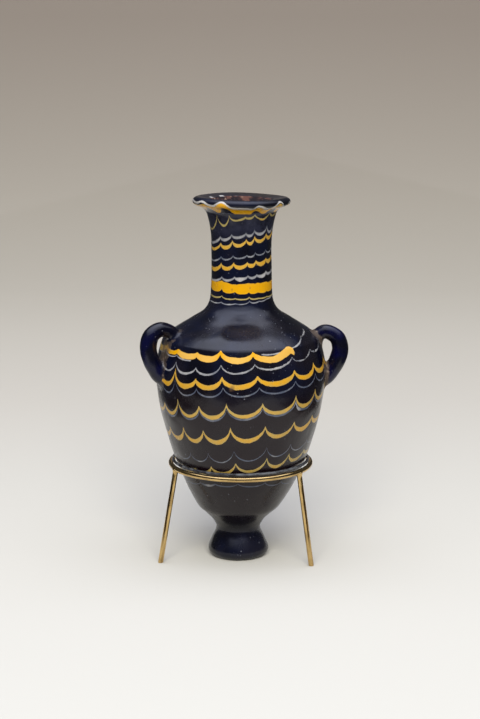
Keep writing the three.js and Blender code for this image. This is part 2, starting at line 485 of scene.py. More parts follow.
# Width that a thread is given where it is absent
ABSENT = -1.5


@dataclass(frozen=True)
class Stroke:
    """One upward stroke of the comb: its azimuth at the band's middle height, and how far
    it leans to greater azimuths for each ten millimetres further down."""

    azimuth: float
    lean: float = 1.5
    strength: float = 1.0


@dataclass(frozen=True)
class Accent:
    """A place where a thread is wider or narrower, duller or brighter, or sags."""

    azimuth: float
    spread: float
    width: float = 0.0
    dull: float = 0.0
    rise: float = 0.0

    def share(self, azimuth: np.ndarray) -> np.ndarray:
        """How much of the accent is felt at azimuths."""
        return bell(azimuth - self.azimuth, self.spread)


@dataclass(frozen=True)
class Pass:
    """One pass of a thread across the front: the heights of its swags at the left, the
    middle and the right, its width, how far each front stroke dragged it up, how far dark
    glass has dulled it, where it ends, and the accents along it."""

    left: float
    middle: float
    right: float
    width: float
    pulls: tuple[float, ...]
    dull: float = 0.0
    start: float = -1000.0
    end: float = 1000.0
    accents: tuple[Accent, ...] = ()

    def accent(self, azimuth: np.ndarray, name: str) -> np.ndarray:
        """Sum of one quantity of the accents at azimuths."""
        total = np.zeros_like(azimuth)
        for one in self.accents:
            total = total + getattr(one, name) * one.share(azimuth)
        return total


@dataclass(frozen=True)
class CombedBand:
    """A band of thread passes that were combed together."""

    strokes: tuple[Stroke, ...]
    middle_height: float
    first_pulled: int
    helical: bool = True
    rounded: bool = False
    left_azimuth: float = 215.0
    right_azimuth: float = 325.0
    front_from: float = 200.0
    front_to: float = 345.0
    seam: float = 90.0
    groove_low: float = 0.0
    groove_high: float = 0.0

    def stroke_lines(self, height: np.ndarray) -> list[np.ndarray]:
        """Azimuth of every stroke at heights."""
        down = (self.middle_height - height) / 10.0
        return [stroke.azimuth + stroke.lean * down for stroke in self.strokes]

    def with_neighbours(self, passes: tuple[Pass, ...]) -> list[Pass]:
        """Adds an absent pass above the first and below the last, to lead the threads off."""
        first, last = passes[0], passes[-1]
        rise = 8.0 if len(passes) < 2 else passes[0].middle - passes[1].middle
        drop = 8.0 if len(passes) < 2 else passes[-2].middle - passes[-1].middle
        none = tuple(0.5 * pull for pull in first.pulls)
        above = Pass(first.left + rise, first.middle + rise, first.right + rise, ABSENT, none)
        below = Pass(last.left - drop, last.middle - drop, last.right - drop, ABSENT, last.pulls)
        return [above, *passes, below]

    def swag_height(self, one: Pass, azimuth: np.ndarray) -> np.ndarray:
        """Height of a pass's swags at azimuths on the front."""
        middle = 0.5 * (self.left_azimuth + self.right_azimuth)
        u = (azimuth - middle) / (0.5 * (self.right_azimuth - self.left_azimuth))
        tilt = 0.5 * (one.right - one.left)
        bow = 0.5 * (one.right + one.left) - one.middle
        return one.middle + tilt * u + bow * u * u + one.accent(azimuth, "rise")

    def round_the_back(
        self,
        passes: list[Pass],
        k: int,
        azimuth: np.ndarray,
        quantity: Callable[[Pass, np.ndarray], np.ndarray],
    ) -> np.ndarray:
        """Carries a quantity of a pass round the back to the pass that it runs on into.

        Args:
            passes: all passes with their neighbours.
            k: number of the pass.
            azimuth: azimuths from the seam once round.
            quantity: function of a pass and azimuths on the front.

        Returns:
            The quantity at each azimuth.
        """
        front = quantity(passes[k], np.clip(azimuth, self.front_from, self.front_to))
        far = FULL_TURN - (self.front_to - self.front_from)
        to_left = (self.front_from - azimuth) / far
        to_right = (azimuth - self.front_to) / far
        if not self.helical:
            ends = [np.full_like(azimuth, edge) for edge in (self.front_from, self.front_to)]
            left_end, right_end = (quantity(passes[k], edge) for edge in ends)
            value = np.where(azimuth < self.front_from, lerp(left_end, right_end, to_left), front)
            return np.where(azimuth > self.front_to, lerp(right_end, left_end, to_right), value)
        value = front
        if k + 1 < len(passes):
            onward = quantity(passes[k + 1], np.full_like(azimuth, self.front_to))
            value = lerp(value, onward, np.clip(to_left, 0.0, 1.0))
        if k > 0:
            back = quantity(passes[k - 1], np.full_like(azimuth, self.front_from))
            value = lerp(value, back, np.clip(to_right, 0.0, 1.0))
        return value

    def pull_of(self, one: Pass, stroke: int) -> float:
        """How far a stroke dragged a pass up: as seen on the front, else its average."""
        seen = stroke - self.first_pulled
        if 0 <= seen < len(one.pulls):
            return one.pulls[seen]
        average = sum(one.pulls) / len(one.pulls)
        return average * self.strokes[stroke].strength

    def festoon(self, passes: list[Pass], k: int, azimuth: np.ndarray) -> np.ndarray:
        """Rise of a pass above its swags, sharp at the strokes and flat between them.

        Args:
            passes: all passes with their neighbours.
            k: number of the pass.
            azimuth: azimuths from the seam once round.

        Returns:
            Rise at each azimuth.
        """
        level = self.round_the_back(passes, k, azimuth, self.swag_height)
        lines = self.stroke_lines(level)
        count = len(lines)
        rise = np.zeros_like(azimuth)
        for turn in (-1, 0, 1):
            for i in range(count):
                j = (i + 1) % count
                ahead = FULL_TURN if j == 0 else 0.0
                start = lines[i] + turn * FULL_TURN
                end = lines[j] + turn * FULL_TURN + ahead
                t = (azimuth - start) / (end - start)
                inside = (t >= 0.0) & (t < 1.0)
                if not inside.any():
                    continue
                left = self.pull_round(passes, k, i, start)
                right = self.pull_round(passes, k, j, end)
                shape = left * self.droop(t) + right * self.droop(1.0 - t)
                rise = np.where(inside, shape, rise)
        return rise

    def droop(self, share: np.ndarray) -> np.ndarray:
        """How much of a cusp is left at a share of the way to the next stroke."""
        if self.rounded:
            return 0.5 + 0.5 * np.cos(math.pi * np.clip(2.1 * share, 0.0, 1.0))
        wide = np.clip(1.0 - 1.9 * share, 0.0, 1.0) ** 2.3
        return wide * (0.66 + 0.34 * np.exp(-share / 0.045))

    def pull_round(self, passes: list[Pass], k: int, stroke: int, azimuth: np.ndarray) -> np.ndarray:
        """Pull of a stroke on a pass, carried round the back like its height."""
        return self.round_the_back(
            passes, k, azimuth, lambda one, where: np.full_like(where, self.pull_of(one, stroke))
        )

    def width_at(self, passes: list[Pass], k: int, azimuth: np.ndarray) -> np.ndarray:
        """Width of a pass at azimuths, negative where it is absent."""
        width = self.round_the_back(
            passes, k, azimuth, lambda one, where: one.width + one.accent(where, "width")
        )
        here = passes[k]
        present = (azimuth > here.start) & (azimuth < here.end)
        return np.where(present, width, ABSENT)

    def wind(self, passes: tuple[Pass, ...], azimuth: np.ndarray, height: np.ndarray) -> np.ndarray:
        """Where points lie among the passes of one thread.

        Args:
            passes: the thread's passes from the top down.
            azimuth: azimuths, which may run on past the seam.
            height: heights.

        Returns:
            One row for each point: its place counted in passes, whole on a pass's centre
            line, the thread's width there, the distance from pass to pass, and the dulling.
        """
        turns = np.floor((azimuth - self.seam) / FULL_TURN)
        around = azimuth - turns * FULL_TURN
        chain = self.with_neighbours(passes)
        centres = []
        widths = []
        dulls = []
        for k in range(len(chain)):
            level = self.round_the_back(chain, k, around, self.swag_height)
            rise = self.festoon(chain, k, around)
            centres.append(level + rise)
            tallest = max(max(chain[k].pulls), 0.1)
            narrowing = 1.0 - 0.34 * np.clip(rise / tallest, 0.0, 1.0)
            width = self.width_at(chain, k, around)
            widths.append(np.where(width > 0.0, width * narrowing, width))
            dull = self.round_the_back(
                chain, k, around, lambda one, where: one.dull + one.accent(where, "dull")
            )
            dulls.append(dull + 0.2 * np.clip(rise / tallest, 0.0, 1.0))
        place = np.zeros_like(height)
        gap = np.ones_like(height)
        width = np.zeros_like(height)
        dull = np.zeros_like(height)
        gaps = [np.maximum(centres[k] - centres[k + 1], 0.4) for k in range(len(chain) - 1)]
        for k in range(len(chain) - 1):
            share = (centres[k] - height) / gaps[k]
            inside = share >= 0.0 if k > 0 else np.ones_like(height, bool)
            above = gaps[k] if k == 0 else 0.5 * (gaps[k] + gaps[k - 1])
            below = gaps[k] if k == len(gaps) - 1 else 0.5 * (gaps[k] + gaps[k + 1])
            t = np.clip(share, 0.0, 1.0)
            place = np.where(inside, k + share, place)
            gap = np.where(inside, lerp(above, below, t), gap)
            near = smoothstep(t, 0.4, 0.6)
            width = np.where(inside, lerp(widths[k], widths[k + 1], near), width)
            dull = np.where(inside, lerp(dulls[k], dulls[k + 1], near), dull)
        if self.helical:
            place = place + turns
        return np.stack([place, width, gap, dull], 1)


BODY_BAND = CombedBand(
    strokes=(
        Stroke(98.0, 1.8, 0.9),
        Stroke(119.0, 2.4, 1.15),
        Stroke(141.0, 1.2, 0.8),
        Stroke(162.5, 2.0, 1.05),
        Stroke(184.0, 1.0, 0.95),
        Stroke(205.3, 0.6),
        Stroke(222.6, 2.05),
        Stroke(240.8, 1.8),
        Stroke(260.0, 2.8),
        Stroke(284.0, 3.6),
        Stroke(309.3, 1.25),
        Stroke(329.8, 1.3),
        Stroke(351.0, 1.6, 0.95),
        Stroke(372.0, 2.2, 1.1),
        Stroke(393.5, 1.4, 0.85),
        Stroke(415.0, 2.4, 1.2),
        Stroke(436.5, 1.7, 0.95),
    ),
    middle_height=55.0,
    first_pulled=5,
    groove_low=27.0,
    groove_high=79.0,
)

# Pulls belong to seven front strokes, from the left handle round to the right one
BODY_YELLOW = (
    # Its dulling below zero turns this top pass cream in the material: a painted highlight sheen where
    # the shoulder's highlight lies.
    Pass(
        71.6, 71.0, 71.0, 1.8, (1.2, 0.85, 1.0, 2.8, 2.3, 0.6, 1.5), -0.25, end=310.0,
        accents=(
            Accent(306.0, 9.0, width=1.0, rise=2.0),
            Accent(212.0, 7.0, width=-0.4, dull=0.2),
            Accent(196.0, 10.0, dull=1.0),
        ),
    ),
    Pass(61.6, 63.0, 64.6, 1.6, (3.2, 5.15, 2.4, 3.3, 3.0, 2.85, 3.3), 0.2),
    Pass(51.8, 53.1, 55.0, 1.3, (2.65, 5.3, 3.65, 4.45, 3.65, 4.2, 4.0), 0.52),
    Pass(43.5, 44.9, 47.3, 1.5, (3.0, 4.35, 4.0, 4.8, 4.25, 3.5, 2.85), 0.45),
    Pass(32.0, 33.7, 36.2, 1.15, (1.0, 1.15, 2.4, 3.65, 4.05, 3.35, 2.0), 0.65),
)
BODY_PALE = (
    Pass(
        73.2, 72.35, 73.7, 0.36, (0.6, 0.4, 0.5, 2.3, 1.9, 0.3, 0.6), 0.35, start=283.0, end=344.0,
        accents=(Accent(340.0, 26.0, rise=3.0),),
    ),
    Pass(70.4, 69.8, 69.8, 0.42, (1.2, 0.85, 1.0, 2.8, 2.3, 3.4, 2.5), 0.4, start=150.0, end=234.0),
    Pass(
        65.9, 67.4, 70.8, 0.6, (3.0, 3.65, 2.1, 3.28, 2.4, 2.0, 2.0), 0.45,
        accents=(Accent(230.0, 12.0, width=0.15), Accent(292.0, 9.0, width=0.2, dull=-0.1)),
    ),
    Pass(58.7, 59.9, 61.2, 0.56, (3.2, 5.7, 2.5, 3.3, 2.65, 3.0, 3.5), 0.75),
    Pass(
        50.9, 52.25, 54.1, 0.62, (2.5, 5.1, 3.5, 4.3, 3.5, 4.0, 3.8), 0.8,
        accents=(Accent(311.0, 3.5, width=0.9, dull=-0.4, rise=-0.4),),
    ),
    Pass(36.2, 37.6, 39.8, 0.42, (2.0, 2.7, 3.3, 4.35, 4.3, 3.3, 2.05), 0.75),
    Pass(
        27.2, 28.4, 27.2, 0.42, (0.8, 0.9, 0.8, 1.2, 1.4, 1.2, 1.0), 0.95,
        accents=(Accent(238.0, 9.0, width=0.35, dull=-0.4),),
    ),
)

NECK_BAND = CombedBand(
    strokes=(
        Stroke(111.0, 2.0, 1.1),
        Stroke(137.0, 1.5, 0.9),
        Stroke(162.0, 2.6, 1.0),
        Stroke(188.0, 2.0),
        Stroke(228.0, 2.4),
        Stroke(254.2, 3.7),
        Stroke(280.6, 3.0),
        Stroke(297.4, 4.3),
        Stroke(322.6, 0.5),
        Stroke(345.0, 1.0),
        Stroke(371.0, 2.0, 1.05),
        Stroke(396.0, 2.6, 0.9),
        Stroke(421.0, 1.8, 1.15),
        Stroke(446.0, 2.4, 0.95),
    ),
    middle_height=100.0,
    first_pulled=3,
    groove_low=86.0,
    groove_high=116.0,
)
NECK_YELLOW = (
    Pass(
        110.8, 113.6, 114.4, 0.66, (2.5, 3.5, 2.5, 0.6, 1.2, 1.6, 1.2), 0.95, end=352.0,
        accents=(Accent(240.0, 10.0, rise=-0.8), Accent(308.0, 12.0, dull=-0.3, rise=-0.9)),
    ),
    Pass(103.75, 105.3, 107.0, 1.15, (1.6, 1.5, 1.85, 1.55, 2.0, 1.7, 1.5), 0.34, end=372.0),
    Pass(97.1, 98.3, 99.6, 1.2, (1.5, 1.75, 1.5, 1.05, 1.2, 1.05, 1.1), 0.25),
    Pass(
        91.25, 90.6, 90.55, 3.4, (0.5, 1.1, 0.45, 0.5, 0.2, 0.3, 0.6), -0.1,
        accents=(Accent(232.0, 14.0, width=0.5),),
    ),
    Pass(88.05, 87.9, 88.1, 0.44, (0.5, 0.85, 0.3, 0.75, 0.2, 0.3, 0.3), 0.85, start=150.0),
)
NECK_PALE = (
    Pass(106.0, 107.95, 109.0, 0.95, (1.2, 1.2, 1.4, 1.0, 1.6, 2.45, 1.5), 0.55),
    Pass(100.0, 101.2, 102.35, 0.56, (1.0, 1.2, 1.2, 0.7, 1.2, 1.2, 1.0), 0.58),
    Pass(
        93.5, 94.4, 95.5, 0.8, (0.9, 1.2, 0.9, 0.9, 0.7, 0.9, 0.8), 0.45,
        accents=(Accent(266.0, 7.0, width=0.6, dull=-0.1), Accent(318.0, 9.0, width=0.5, dull=-0.1)),
    ),
    Pass(86.3, 86.4, 87.4, 0.36, (0.4, 0.6, 0.3, 0.9, 0.3, 0.3, 0.3), 0.5, start=150.0),
)

RIM_BAND = CombedBand(
    strokes=(
        Stroke(100.0),
        Stroke(128.0, strength=1.2),
        Stroke(158.0),
        Stroke(188.0),
        Stroke(218.0),
        Stroke(246.5),
        Stroke(275.0),
        Stroke(290.0),
        Stroke(321.5),
        Stroke(348.0),
        Stroke(372.0, strength=0.9),
        Stroke(396.0, strength=1.15),
        Stroke(424.0),
    ),
    middle_height=117.0,
    first_pulled=3,
    helical=False,
    rounded=True,
)
RIM_YELLOW = (
    Pass(
        116.8, 116.2, 116.0, 1.5, (0.5, 0.9, 1.9, 0.1, 1.2, 2.2, 1.4), -0.05,
        accents=(
            Accent(240.0, 14.0, width=0.6),
            Accent(208.0, 12.0, dull=0.3),
            Accent(326.0, 8.0, dull=0.3),
        ),
    ),
)
RIM_PALE = (
    Pass(118.2, 117.35, 117.0, 0.75, (0.6, 0.9, 1.8, 0.2, 1.2, 2.4, 1.8), 0.05),
    Pass(115.3, 115.1, 115.3, 0.2, (0.3, 0.4, 0.5, 0.3, 0.4, 0.4, 0.3), 0.7, start=225.0, end=290.0),
)


# Vase


@dataclass
class Handle:
    """A loop handle of round cane, from the shoulder out, round and back to the belly."""

    crown_rise: float
    turn: float
    thickness: float = 5.5
    root_thickness: float = 4.7
    overhang: float = 8.8
    span: float = 15.1
    bury: float = 1.6
    sides: int = 40
    spacing: float = 0.45

    def centre_line(self, form: VaseForm) -> np.ndarray:
        """Centre line in the handle's own upright plane, as radius and height."""
        crown = form.shoulder[1] + self.crown_rise
        tail = crown - self.span

        def down(share: float) -> float:
            """Height a share of the span below the crown."""
            return crown - self.span * share

        out = form.radius_at(down(0.34)) + self.overhang - self.thickness / 2.0
        overhang = out - form.radius_at(tail)

        def inwards(share: float) -> float:
            """Radius a share of the overhang in from the outermost place."""
            return out - overhang * share

        root = form.radius_at(down(0.2)) - self.bury
        knots = [
            (root, down(0.2)),
            (root + (inwards(1.04) - root) * 0.42, down(0.06)),
            (inwards(1.04), crown),
            (inwards(0.27), down(0.115)),
            (out, down(0.35)),
            (inwards(0.2), down(0.64)),
            (inwards(0.6), down(0.85)),
            (inwards(1.0), tail),
            (inwards(1.0) - self.bury, tail - self.bury * 0.5),
        ]
        return resampled(self.rounded(np.array(knots, float)), self.spacing)

    @staticmethod
    def rounded(knots: np.ndarray) -> np.ndarray:
        """Centripetal curve through knots, which never loops between close ones."""
        ends = [2.0 * knots[0] - knots[1], *knots, 2.0 * knots[-1] - knots[-2]]
        path = []
        for p0, p1, p2, p3 in zip(ends, ends[1:], ends[2:], ends[3:]):
            chords = (p1 - p0, p2 - p1, p3 - p2)
            t0, t1, t2 = (max(np.linalg.norm(chord) ** 0.5, 1e-4) for chord in chords)
            v1 = ((p1 - p0) / t0 - (p2 - p0) / (t0 + t1) + (p2 - p1) / t1) * t1
            v2 = ((p2 - p1) / t1 - (p3 - p1) / (t1 + t2) + (p3 - p2) / t2) * t1
            for t in np.linspace(0.0, 1.0, 16, endpoint=False):
                a = 2.0 * p1 - 2.0 * p2 + v1 + v2
                b = -3.0 * p1 + 3.0 * p2 - 2.0 * v1 - v2
                path.append(a * t**3 + b * t**2 + v1 * t + p1)
        path.append(knots[-1])
        return np.array(path)

    def placed_line(self, form: VaseForm) -> np.ndarray:
        """Centre line in space, in millimetres."""
        line = self.centre_line(form)
        angle = math.radians(self.turn)
        tail = form.shoulder[1] + self.crown_rise - self.span
        shift = float(form.drift_at(tail))
        x = line[:, 0] * math.cos(angle) + shift
        return np.stack([x, line[:, 0] * math.sin(angle), line[:, 1]], 1)

    def radii(self, count: int) -> np.ndarray:
        """Radius of the cane at places along its length."""
        share = np.linspace(0.0, 1.0, count)
        thickness = lerp(self.root_thickness, self.thickness, smoothstep(share, 0.1, 0.5))
        return thickness / 2.0


@dataclass
class Vase:
    """The fused glass body with its handles, its hollow and its combed threads."""

    form: VaseForm = field(default_factory=VaseForm)
    handles: tuple[Handle, ...] = (Handle(1.75, 0.0), Handle(4.25, 202.0))
    cells_between_strokes: int = 19
    fillet: float = 1.4
    reach: float = 0.6
    groove: float = 0.03
    unevenness: float = 0.06
    crust_spread: float = 10.5
    comb_tooth: float = 2.2
    lowest_thread: float = 22.0
    neck_threads_from: float = 81.0
    mouth_from: float = 108.0
    rim_threads_from: float = 115.4
    lip_crown: float = 119.6

    # Unevenness of the shoulder's front: size, height and half height of a hollow and a swelling
    shoulder_hollow: tuple[float, float, float] = (0.8, 79.8, 2.1)
    shoulder_swelling: tuple[float, float, float] = (0.5, 82.6, 1.5)
    shoulder_front: float = 265.0
    shoulder_spread: float = 42.0

    # Azimuth, height, half width and half height of brown inclusions
    stains: tuple[tuple[float, float, float, float], ...] = (
        (264.3, 62.6, 0.6, 0.85),
        (252.0, 90.9, 0.3, 0.3),
        (286.0, 91.6, 0.2, 0.2),
        (120.0, 58.0, 0.8, 0.7),
        (30.0, 47.0, 0.6, 0.9),
    )

    # Azimuths that the mesh's columns follow up the neck, most of them strokes of the comb
    neck_columns: tuple[float, ...] = (
        94.0, 111.0, 137.0, 162.0, 188.0, 208.0, 228.0, 254.2, 280.6,
        297.4, 322.6, 345.0, 371.0, 396.0, 408.0, 421.0, 446.0,
    )

    def column_lines(self, height: np.ndarray) -> np.ndarray:
        """Azimuths of the mesh's main columns at heights, one row for each height."""
        body = np.stack(BODY_BAND.stroke_lines(np.clip(height, 26.0, 78.0)), 1)
        leans = {stroke.azimuth: stroke.lean for stroke in NECK_BAND.strokes}
        down = (NECK_BAND.middle_height - np.clip(height, 86.0, 118.0)) / 10.0
        neck = np.stack([a + leans.get(a, 1.5) * down for a in self.neck_columns], 1)
        blend = smoothstep(height, 77.5, 86.0)[:, None]
        return lerp(body, neck, blend)

    def columns(self, height: np.ndarray) -> np.ndarray:
        """Azimuths of all columns at heights, closer together beside the strokes."""
        lines = self.column_lines(height)
        closed = np.concatenate([lines, lines[:, :1] + FULL_TURN], 1)
        t = np.arange(self.cells_between_strokes) / self.cells_between_strokes
        eased = t - 0.5 * np.sin(2.0 * math.pi * t) / (2.0 * math.pi)
        parts = []
        for k in range(lines.shape[1]):
            start = closed[:, k : k + 1]
            parts.append(start + (closed[:, k + 1 : k + 2] - start) * eased[None, :])
        return np.concatenate(parts, 1)

    def outer_rows(self) -> np.ndarray:
        """Radius and height of every row of the outer surface, from the base to the lip."""
        side = self.form.side()
        marks = [
            (self.form.foot_outline(), 0.9),
            (side[side[:, 1] < 25.0], 0.95),
            (side[(side[:, 1] >= 25.0) & (side[:, 1] < 78.0)], 0.62),
            (side[(side[:, 1] >= 78.0) & (side[:, 1] < 85.5)], 0.8),
            (side[side[:, 1] >= 85.5], 0.46),
            (self.form.rim_outline(), 0.36),
        ]
        rows = [resampled(part, spacing) for part, spacing in marks]
        joined = [rows[0]]
        for row in rows[1:]:
            keep = np.linalg.norm(row[0] - joined[-1][-1]) < 0.2
            joined.append(row[1:] if keep else row)
        return np.concatenate(joined)

    def turned_point(self, radius: np.ndarray, azimuth: np.ndarray, height: np.ndarray) -> np.ndarray:
        """Places points of the turning in space, with the vessel's drift and tilt."""
        angle = np.radians(azimuth)
        x = radius * np.cos(angle)
        y = radius * np.sin(angle)
        lift = self.form.lift_at(radius, angle, height)
        return np.stack([x + self.form.drift_at(height), y, height + lift], -1)

    def comb_marks(self, azimuth: np.ndarray, height: np.ndarray) -> np.ndarray:
        """Depth of the shallow grooves that the comb left, 0 to 1."""
        depth = np.zeros_like(azimuth)
        for band in (BODY_BAND, NECK_BAND):
            low, high = band.groove_low, band.groove_high
            share = smoothstep(height, low, low + 6.0) * (1.0 - smoothstep(height, high - 6.0, high))
            for line in band.stroke_lines(height):
                depth += share * bell(turn_from(line, azimuth), self.comb_tooth)
        return depth

    def shoulder_unevenness(self, azimuth: np.ndarray, height: np.ndarray) -> np.ndarray:
        """Outward offset of the shoulder's front, where it was marvered a little hollow."""
        offset = np.zeros_like(height)
        forms = ((-1.0, self.shoulder_hollow), (1.0, self.shoulder_swelling))
        for sign, (size, middle, spread) in forms:
            offset = offset + sign * size * bell(height - middle, spread)
        return offset * bell(turn_from(self.shoulder_front, azimuth), self.shoulder_spread)

    def shell(self) -> tuple[np.ndarray, list]:
        """Vertices and faces of the closed body without handles."""
        rows = self.outer_rows()
        azimuth = self.columns(rows[:, 1])
        count = azimuth.shape[1]
        height = np.repeat(rows[:, 1:2], count, 1)
        radius = np.repeat(rows[:, 0:1], count, 1)
        even = self.turned_point(radius, azimuth, height).reshape(-1, 3)
        uneven = ripple(even, 17.0, 5) + 0.45 * ripple(even, 6.0, 8)
        away_from_base = smoothstep(height, 0.0, 5.0)
        away_from_base = away_from_base * (1.0 - 0.6 * smoothstep(height, 116.0, 119.0))
        radius = radius + self.unevenness * (uneven.reshape(radius.shape) - 0.6) * away_from_base
        radius = radius - self.groove * self.comb_marks(azimuth, height)
        radius = radius + self.shoulder_unevenness(azimuth, height)
        outer = self.turned_point(radius, azimuth, height).reshape(-1, 3)
        cavity = self.form.cavity_outline()
        dish = resampled(cavity[:9], 0.7)[1:]
        inner_rows = np.concatenate([dish, resampled(cavity, 2.4)[4:-1]])
        inner_azimuth = self.columns(np.full(len(inner_rows), 119.0))
        inner_height = np.repeat(inner_rows[:, 1:2], count, 1)
        inner_radius = np.repeat(inner_rows[:, 0:1], count, 1)
        inner = self.turned_point(inner_radius, inner_azimuth, inner_height).reshape(-1, 3)
        base = self.turned_point(
            np.full((1, count), self.form.foot_base_radius * 0.55), azimuth[:1], np.zeros((1, count))
        ).reshape(-1, 3)
        points = np.concatenate([base, outer, inner])
        rings = 1 + len(rows) + len(inner_rows)
        faces = grid_faces(rings, count) + pole_faces(count, (rings - 1) * count, len(points))
        floor = self.form.waist_height + self.form.floor_thickness
        poles = np.array([[0.0, 0.0, 0.0], [float(self.form.drift_at(floor)), 0.0, floor]])
        return np.concatenate([points, poles]), faces

    def cane_distance(self, points: np.ndarray) -> np.ndarray:
        """Distance of points from the nearest handle's surface, negative inside."""
        best = np.full(len(points), 1e9)
        for handle in self.handles:
            line = handle.placed_line(self.form)
            radii = handle.radii(len(line))
            near = np.linalg.norm(points - line.mean(0), axis=1) < 20.0
            if not near.any():
                continue
            chosen = points[near]
            distance = np.full(len(chosen), 1e9)
            for centre, radius in zip(line, radii):
                distance = np.minimum(distance, np.linalg.norm(chosen - centre, axis=1) - radius)
            best[near] = np.minimum(best[near], distance)
        return best

    def wall_distance(self, points: np.ndarray) -> np.ndarray:
        """Distance of points from the body's outer surface, negative inside."""
        height = np.clip(points[:, 2], 10.6, 105.0)
        x = points[:, 0] - self.form.drift_at(height)
        out = np.hypot(x, points[:, 1]) - self.form.radius_at(height)
        return out / np.sqrt(1.0 + self.form.slope_at(height) ** 2)

    def fused_distance(self, points: np.ndarray) -> np.ndarray:
        """Distance from handles and body together, with a fillet where they meet."""
        wall = self.wall_distance(points)
        cane = self.cane_distance(points)
        near = np.clip(self.fillet - np.abs(wall - cane), 0.0, None) / self.fillet
        return np.minimum(wall, cane) - near * near * self.fillet * 0.25

    def fuse_body(self, points: np.ndarray) -> np.ndarray:
        """Draws the body's surface up round the handle roots.

        Args:
            points: vertices of the closed body.

        Returns:
            The vertices with the fillets.
        """
        by_cane = self.cane_distance(points) < self.fillet * 1.1
        on_wall = np.abs(self.wall_distance(points)) < 0.6
        index = np.nonzero(by_cane & on_wall)[0]
        start = points[index]
        height = start[:, 2]
        x = start[:, 0] - self.form.drift_at(height)
        radius = np.hypot(x, start[:, 1])
        slope = self.form.slope_at(np.clip(height, 20.0, 105.0))
        normal = np.stack([x / radius, start[:, 1] / radius, -slope], 1)
        normal /= np.linalg.norm(normal, axis=1)[:, None]
        offset = np.zeros(len(index))
        for _ in range(8):
            offset = offset - 0.7 * self.fused_distance(start + normal * offset[:, None])
            offset = np.clip(offset, -0.3, self.reach)
        moved = points.copy()
        moved[index] = start + normal * np.maximum(offset, 0.0)[:, None]
        return moved

    def cane(self, handle: Handle) -> tuple[np.ndarray, list]:
        """Vertices and faces of a handle, flared where it joins the body.

        Args:
            handle: the handle.

        Returns:
            Points in millimetres and faces.
        """
        line = handle.placed_line(self.form)
        radii = handle.radii(len(line))
        angle = math.radians(handle.turn)
        across = np.array([-math.sin(angle), math.cos(angle), 0.0])
        tangent = np.gradient(line, axis=0)
        tangent /= np.linalg.norm(tangent, axis=1)[:, None]
        up = np.cross(tangent, across)
        around = np.linspace(0.0, 2.0 * math.pi, handle.sides, endpoint=False)
        points = []
        for centre, radius, high in zip(line, radii, up):
            spoke = np.cos(around)[:, None] * across + np.sin(around)[:, None] * high
            offset = np.zeros(handle.sides)
            ring = centre + spoke * radius
            inside = self.wall_distance(ring) < 2.2
            for _ in range(6):
                distance = self.fused_distance(centre + spoke * (radius + offset)[:, None])
                offset = np.clip(offset - 0.6 * np.minimum(distance, 0.0), 0.0, self.reach)
            offset = np.where(inside, offset, 0.0)
            wobble = 0.05 * ripple(ring, 7.0, 21)
            points.append(centre + spoke * (radius + offset + wobble - 0.03)[:, None])
        sides, rings = handle.sides, len(points)
        faces = grid_faces(rings, sides) + pole_faces(sides, (rings - 1) * sides, rings * sides)
        return np.concatenate([*points, line[[0, -1]]]), faces

    def build(self) -> bpy.types.Object:
        """Builds the fused vase mesh.

        Returns:
            The vase object without its material.
        """
        points, faces = self.shell()
        body = mesh_object("vase_glass", self.fuse_body(points), faces)
        for number, handle in enumerate(self.handles):
            part = mesh_object(f"cane_{number}", *self.cane(handle))
            make_faces_outward(part)
            join_solids(body, part)
        polygons = body.data.polygons
        polygons.foreach_set("use_smooth", [True] * len(polygons))
        self.mark(body.data)
        LOG.info("vase: %d vertices, %d faces", len(body.data.vertices), len(polygons))
        return body

    def mark(self, mesh: bpy.types.Mesh) -> None:
        """Stores on the mesh where threads, handles, crust and hollow are."""
        points = coordinates(mesh)
        wall = self.wall_distance(points)
        cane = self.cane_distance(points)
        self.mark_threads(mesh, points, wall, cane)
        self.mark_wear(mesh, points, wall, cane)

    def mark_threads(
        self, mesh: bpy.types.Mesh, points: np.ndarray, wall: np.ndarray, cane: np.ndarray
    ) -> None:
        """Stores at the face corners where the threads run and how dull they are.

        Args:
            mesh: the fused mesh.
            points: its vertices in millimetres.
            wall: their distances from the body's outer surface.
            cane: their distances from the handles' surface.
        """
        loops = np.zeros(len(mesh.loops), int)
        mesh.loops.foreach_get("vertex_index", loops)
        totals = np.zeros(len(mesh.polygons), int)
        mesh.polygons.foreach_get("loop_total", totals)
        centres = np.zeros(len(mesh.polygons) * 3)
        mesh.polygons.foreach_get("center", centres)
        centres = np.repeat(centres.reshape(-1, 3) / MM, totals, 0)
        azimuth, height, radius = self.untwisted(points[loops])
        middle, middle_height, _ = self.untwisted(centres)
        middle = np.where(middle < BODY_BAND.seam, middle + FULL_TURN, middle)
        azimuth = middle + turn_from(middle, azimuth)
        wall = wall[loops]
        cane = cane[loops]
        outside = (wall > -1.2) | (height > self.mouth_from)
        bore = self.form.radius_at(np.minimum(height, 114.0)) - 1.5
        inside_rim = (height > self.mouth_from) & (radius < bore)
        plain = (~outside) | inside_rim | (height > self.lip_crown) | (height < self.lowest_thread)
        on_cane = (cane < 0.35) & (wall > 0.5)
        on_neck = (middle_height > self.neck_threads_from)[:, None]
        on_rim = (middle_height > self.rim_threads_from)[:, None]
        on_root = smoothstep(wall, 0.25, 1.0) * (height < 100.0)
        for name, body_thread, neck_thread, rim_thread in (
            ("yellow_thread", BODY_YELLOW, NECK_YELLOW, RIM_YELLOW),
            ("pale_thread", BODY_PALE, NECK_PALE, RIM_PALE),
        ):
            body = BODY_BAND.wind(body_thread, azimuth, height)
            neck = NECK_BAND.wind(neck_thread, azimuth, height)
            rim = RIM_BAND.wind(rim_thread, azimuth, height)
            found = np.where(on_rim, rim, np.where(on_neck, neck, body))
            found[:, 1] = np.where(plain | on_cane, ABSENT, found[:, 1] - 3.0 * on_root)
            store(mesh, name, found[:, :3], "CORNER")
            store(mesh, name + "_dulling", found[:, 3], "CORNER")

